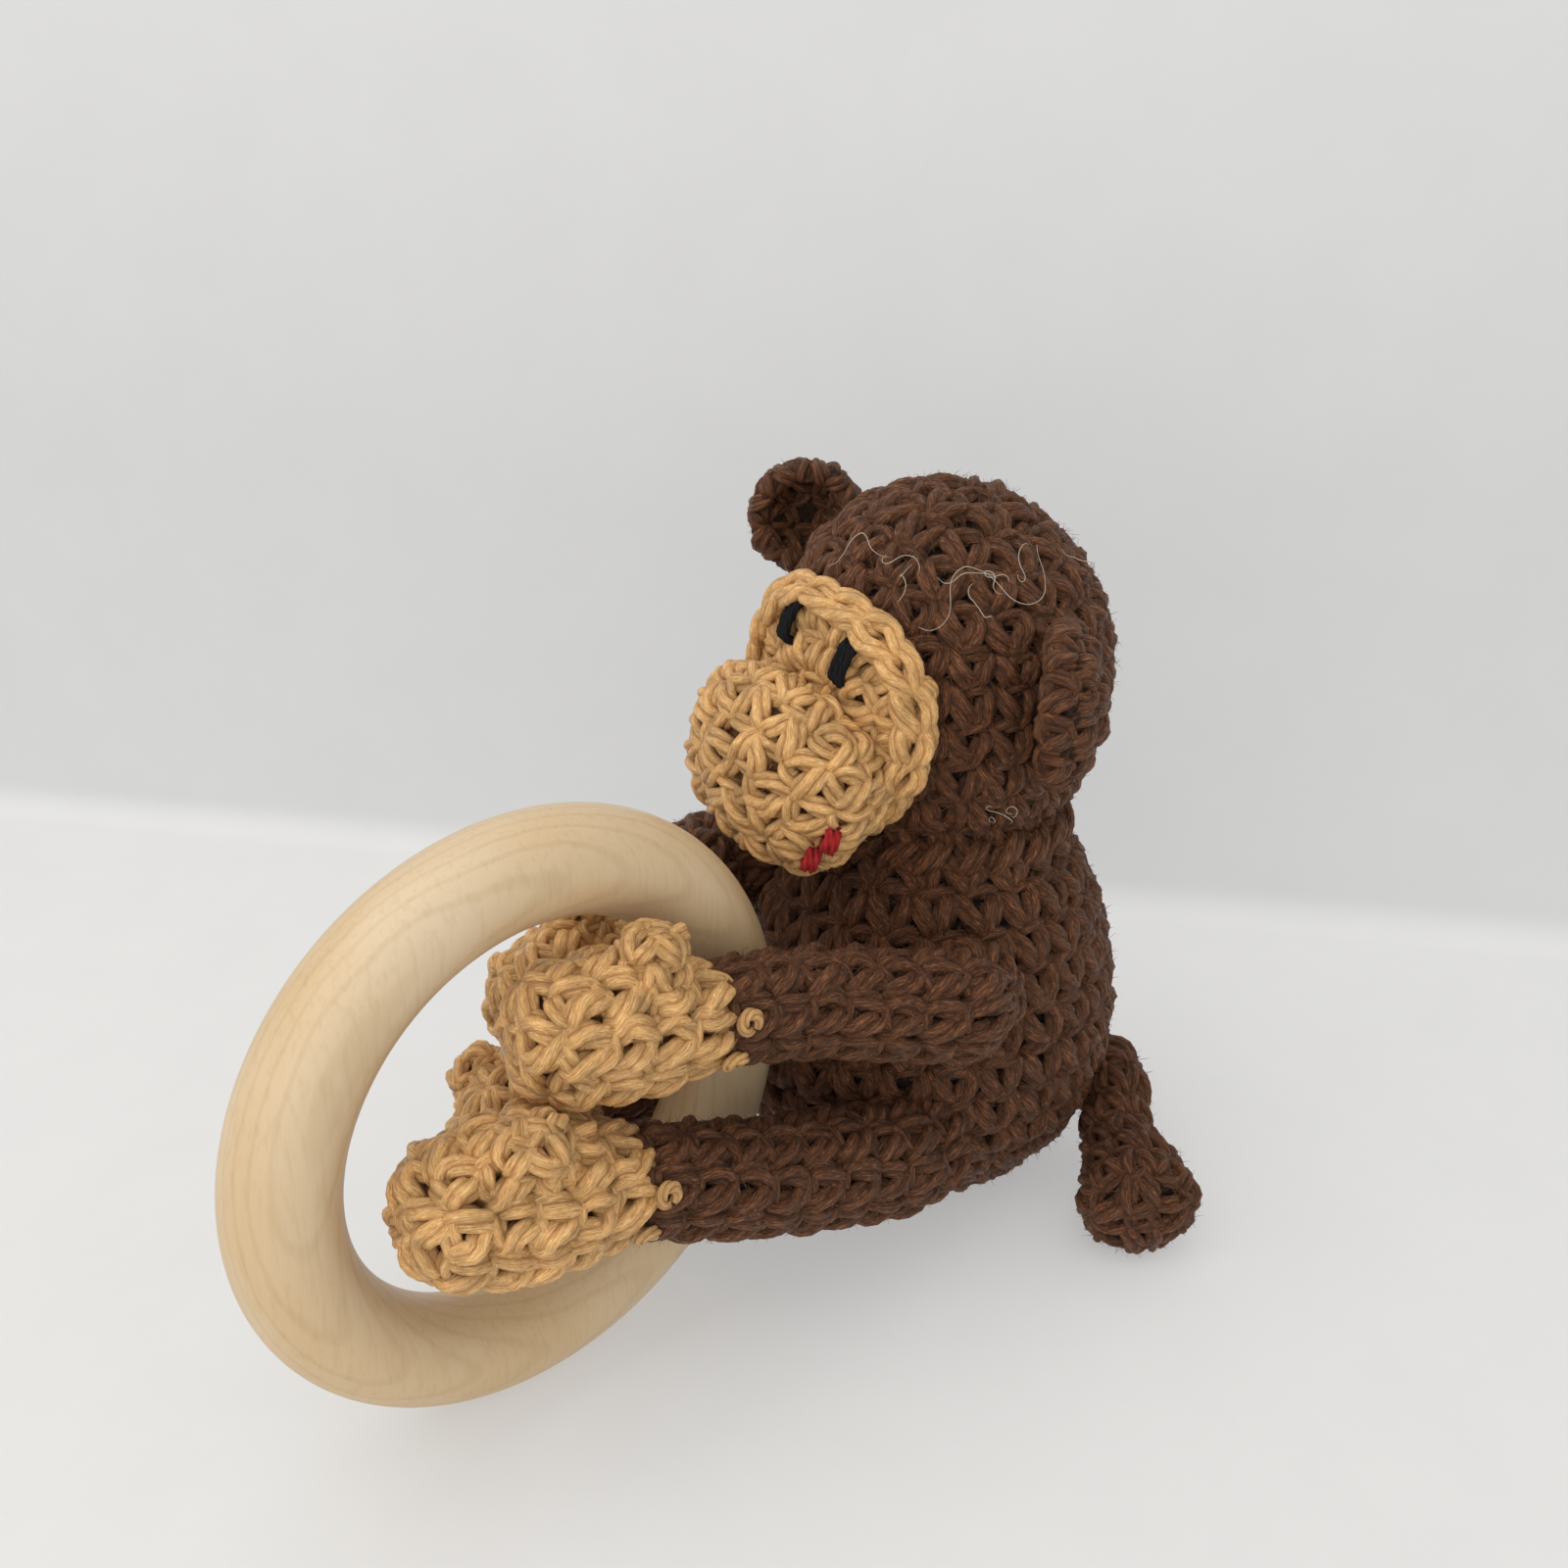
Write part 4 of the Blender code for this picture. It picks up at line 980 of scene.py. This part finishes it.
def build_ears():
    for name, (place, half, tilt, turn) in EARS.items():
        turned = Matrix.Rotation(turn, 3, "Z") @ Matrix.Rotation(tilt, 3, "Y")
        side, back, up = (np.array(turned @ Vector(v)) for v in ((1, 0, 0), (0, 1, 0), (0, 0, 1)))
        centre = np.array(place)
        levels = [(0.95, 0.34), (0.82, 0.62), (0.58, 0.88), (0.28, 1.0), (0.0, 1.0)]
        rows = [circle(centre + back * (0.5 * EAR_DEPTH), side, up, 0.05, 0.05)]
        for depth, scale in levels:
            rows.append(circle(centre + back * ((depth - 0.5) * EAR_DEPTH), side, up,
                               half[0] * scale, half[1] * scale))
        rows.append(circle(centre - back * (0.62 * EAR_DEPTH), side, up,
                           half[0] - 0.5 * EAR_WALL, half[1] - 0.5 * EAR_WALL))
        for depth, scale in levels[::-1]:
            rows.append(circle(centre + back * ((depth * 0.62 - 0.5) * EAR_DEPTH), side, up,
                               (half[0] - EAR_WALL) * scale, (half[1] - EAR_WALL) * scale))
        rows.append(circle(centre + back * (0.12 * EAR_DEPTH), side, up, 0.05, 0.05))
        surface = Surface(rows)
        if (surface.normal[3].mean(axis=0) @ back) < 0:
            surface.normal = -surface.normal
        yarn = Yarn()
        crochet(yarn, surface, 1.5, surface.length - 1.5, sides=16, steps=11, wide=4.5,
                tall=4.4, radius=1.4, sink=0.75)
        item = yarn.mesh(f"{name}_crochet", [under_layer(surface, 1.05, YARN_SLOT),
                                             fuzz(surface, 1500, 1.9)])
        dress(item, "head", BROWN_LOOK, [name])


def embroidery(name, start, stop, count, spread, radius, look, node, normal):
    """Straight stitches side by side between two places, laid over the crochet."""
    yarn = Yarn()
    start = np.array(start)
    stop = np.array(stop)
    along = unit(stop - start)
    across = unit(np.cross(along, normal))
    paths = []
    for k in range(count):
        off = across * (spread * (k - 0.5 * (count - 1)))
        slip = along * RNG.uniform(-0.12, 0.12)
        middle = 0.5 * (start + stop) + off + slip
        half = 0.5 * (stop - start)
        paths.append([middle - half * 1.04 - normal * 2.2, middle - half - normal * 0.5,
                      middle - half * 0.62 + normal * 0.36, middle + half * 0.62 + normal * 0.36,
                      middle + half - normal * 0.5, middle + half * 1.04 - normal * 2.2])
    paths = np.array(paths)
    yarn.strands(paths, np.broadcast_to(normal, paths.shape), np.full(count, radius), 16, 18,
                 twist=7.0, taper=0.05)
    item = yarn.mesh(name)
    dress(item, "head", look, [node])


def build_stitched_face():
    tree = cad_tree("face_patch")
    for name, (x, z) in (("left_eye", (4.8, 4.6)), ("right_eye", (-4.9, 4.9))):
        low, normal = on_face(tree, x - 1.3, z - 2.5, 0.85)
        high, _ = on_face(tree, x - 1.1, z + 2.2, 0.85)
        embroidery(f"{name}_stitches", low, high, 3, 0.66, 0.55, ("black_thread", BLACK),
                   name, normal)
    for name in ("mouth_stitch_upper", "mouth_stitch_lower"):
        lo, hi = (np.array(v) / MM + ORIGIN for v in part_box(name))
        middle = 0.5 * (lo + hi)
        normal = unit((0.55, -0.70, -0.45))
        tilt = unit(np.cross(normal, (0.5, 0.0, 1.0)))
        run = unit(np.cross(tilt, normal))
        embroidery(f"{name}_yarn", middle - run * 1.05 + normal * 0.5,
                   middle + run * 1.05 + normal * 0.5, 2, 0.85, 0.58, ("red_thread", RED), name,
                   normal)


def build_ring():
    """The turned ring, smooth, with its growth layers shown by its material."""
    lean = np.array((cos(RING_LEAN), 0.0, -sin(RING_LEAN)))
    up = np.array((sin(RING_LEAN), 0.0, cos(RING_LEAN)))
    forward = np.array((0.0, 1.0, 0.0))
    centre = np.array((0.0, 0.0, RING_HEIGHT))
    rows = 192
    sides = 56
    verts = []
    for k in range(rows):
        a = 2 * pi * k / rows
        out = forward * cos(a) + up * sin(a)
        verts.append(circle(centre + out * RING_MAJOR, out, lean, RING_TUBE, RING_TUBE, sides))
    verts = np.concatenate(verts)
    index = np.arange(rows * sides).reshape(rows, sides)
    b = np.roll(index, -1, 0)
    quads = np.stack([index, b, np.roll(b, -1, 1), np.roll(index, -1, 1)], -1).reshape(-1, 4)
    uvs = np.stack(np.meshgrid(np.arange(rows) / rows, np.arange(sides) / sides,
                               indexing="ij"), -1).reshape(-1, 2)
    item = make_mesh("ring_turned", verts, quads.reshape(-1), np.full(len(quads), 4),
                     np.zeros(len(quads)), uvs[quads.reshape(-1)])
    dress(item, "ring", ("maple_wood", MAPLE), ["wooden_ring"])


def build_filling():
    """Loose fibre filling: lumpy pads a little smaller than the skins that hold them."""
    bodies = frame["record"]["behaviour"]["bodies"]
    for name in [n for n in frame["nodes"] if "stuffing" in n]:
        mesh = frame["nodes"][name].data.copy()
        item = placed(name.replace("stuffing", "filling"), mesh)
        bm = bmesh.new()
        bm.from_mesh(mesh)
        bmesh.ops.remove_doubles(bm, verts=bm.verts, dist=1e-6)
        bmesh.ops.subdivide_edges(bm, edges=bm.edges, cuts=1, use_grid_fill=True, smooth=0.4)
        bm.normal_update()
        for v in bm.verts:
            v.co += v.normal * (-0.0013 + 0.0003 * RNG.uniform(-1, 1))
        bm.to_mesh(mesh)
        bm.free()
        mesh.materials.clear()
        home = next(b for b, held in bodies.items() if name in held)
        dress(item, home, ("white_fibre", FIBRE), [name])


def dress_hidden():
    """The pieces inside the toy keep their CAD shape and take detailed materials."""
    for name, item in frame["nodes"].items():
        look = None
        if "capsule" in name:
            look = PLASTIC
        elif "bead" in name:
            look = BEADS
        if look:
            item.data.materials.clear()
            item.data.materials.append(look)


# ---------------------------------------------------------------- floor, light, camera

def build_stage():
    """A pale paper sweep: floor, a soft bend and the wall behind, with painted shade low on the wall
    and a painted glow all over.
    """
    left = np.array(WALL_LEFT)
    right = np.array(WALL_RIGHT)
    along = unit(right - left)
    back = np.array((-along[1], along[0], 0.0))
    profile = [(-1500.0, 0.0), (-WALL_BEND, 0.0)]
    for k in range(1, 13):
        a = radians(7.5 * k)
        profile.append((WALL_BEND * (sin(a) - 1), WALL_BEND * (1 - cos(a))))
    profile.append((0.0, 1400.0))
    middle = 0.5 * (left + right)
    verts = []
    for out, high in profile:
        for span in (-1800.0, 1800.0):
            verts.append(middle + along * span + back * out + np.array((0, 0, high - 0.02)))
    verts = np.array(verts)
    faces = np.array([(2 * k, 2 * k + 1, 2 * k + 3, 2 * k + 2) for k in range(len(profile) - 1)])
    material, tree, shader = new_material("grey_paper", (0.42, 0.42, 0.42), 0.9)
    place = add(tree, "ShaderNodeTexCoord").outputs["Object"]
    grain = noise(tree, place, 60.0, 4.0, 0.6)
    paper = ramp(tree, grain, (0.3, (0.412, 0.412, 0.408)), (0.7, (0.43, 0.43, 0.425)))
    # painted shade: the wall turns darker just above the floor and lightens again towards its top,
    # while the floor keeps the paper's full tone
    high = calculated(tree, "MULTIPLY", part_of(tree, place, "Z"), 1 / WALL_SHADE_FADE)
    wall_shade = ramp(tree, high, (0.0, (1.0, 1.0, 1.0)), (0.025, (0.86, 0.865, 0.875)),
                (0.3, (0.83, 0.835, 0.845)), (1.0, (0.97, 0.97, 0.97)))
    tree.links.new(mixed(tree, 1.0, paper, wall_shade, "MULTIPLY"), shader.inputs["Base Color"])
    # painted light: the paper glows in its own tone
    tree.links.new(wall_shade, shader.inputs["Emission Color"])
    shader.inputs["Emission Strength"].default_value = PAPER_PAINTED_GLOW
    # seen from behind, the wall gives way to the toy
    clear = add(tree, "ShaderNodeBsdfTransparent")
    facing = add(tree, "ShaderNodeNewGeometry")
    choice = add(tree, "ShaderNodeMixShader")
    tree.links.new(facing.outputs["Backfacing"], choice.inputs[0])
    tree.links.new(shader.outputs[0], choice.inputs[1])
    tree.links.new(clear.outputs[0], choice.inputs[2])
    tree.links.new(choice.outputs[0], tree.nodes["Material Output"].inputs["Surface"])
    item = make_mesh("paper_sweep", verts, faces.reshape(-1), np.full(len(faces), 4),
                     np.zeros(len(faces)), verts[faces.reshape(-1)][:, :2])
    item.data.materials.append(material)


def aimed(item, place, target):
    item.location = (np.array(place) - ORIGIN) * MM
    way = Vector(target) - Vector(place)
    item.rotation_euler = way.to_track_quat("-Z", "Y").to_euler()
    return item


def area_light(name, place, target, size, power, colour=(1, 1, 1)):
    data = bpy.data.lights.new(name, "AREA")
    data.shape = "DISK"
    data.size = size
    data.energy = power
    data.color = colour
    aimed(placed(name, data), place, target)


def build_lights():
    world = bpy.data.worlds.new("studio")
    bpy.context.scene.world = world
    world.use_nodes = True
    sky = world.node_tree.nodes["Background"]
    sky.inputs["Color"].default_value = (1.0, 0.99, 0.965, 1)
    sky.inputs["Strength"].default_value = 0.68
    middle = (0, 40, 40)
    area_light("key", (-20, -190, 520), middle, 0.6, 1.15, (1.0, 0.97, 0.92))
    area_light("fill", (250, -340, 150), middle, 0.6, 0.80, (1.0, 0.99, 0.97))


def build_camera():
    data = bpy.data.cameras.new("camera")
    data.lens = LENS
    data.sensor_width = 36.0
    data.clip_start = 0.01
    bpy.context.scene.camera = aimed(placed("camera", data), EYE, LOOK_AT)


build_camera()
build_ring()
build_body()
build_head()
build_patch()
build_muzzle()
build_ears()
build_stitched_face()
build_lint()
for limb_name, (hand_name, root_way, limb_path) in LIMBS.items():
    build_limb(limb_name, hand_name, root_way, limb_path)
for bud_name, (bud_base, bud_way, bud_reach, bud_radius) in BUDS.items():
    build_bud(bud_name, bud_base, bud_way, bud_reach, bud_radius)
build_tail()
build_neck()
build_filling()
dress_hidden()
build_stage()
build_lights()
bpy.context.scene.view_settings.view_transform = "Standard"

bpy.context.view_layer.update()
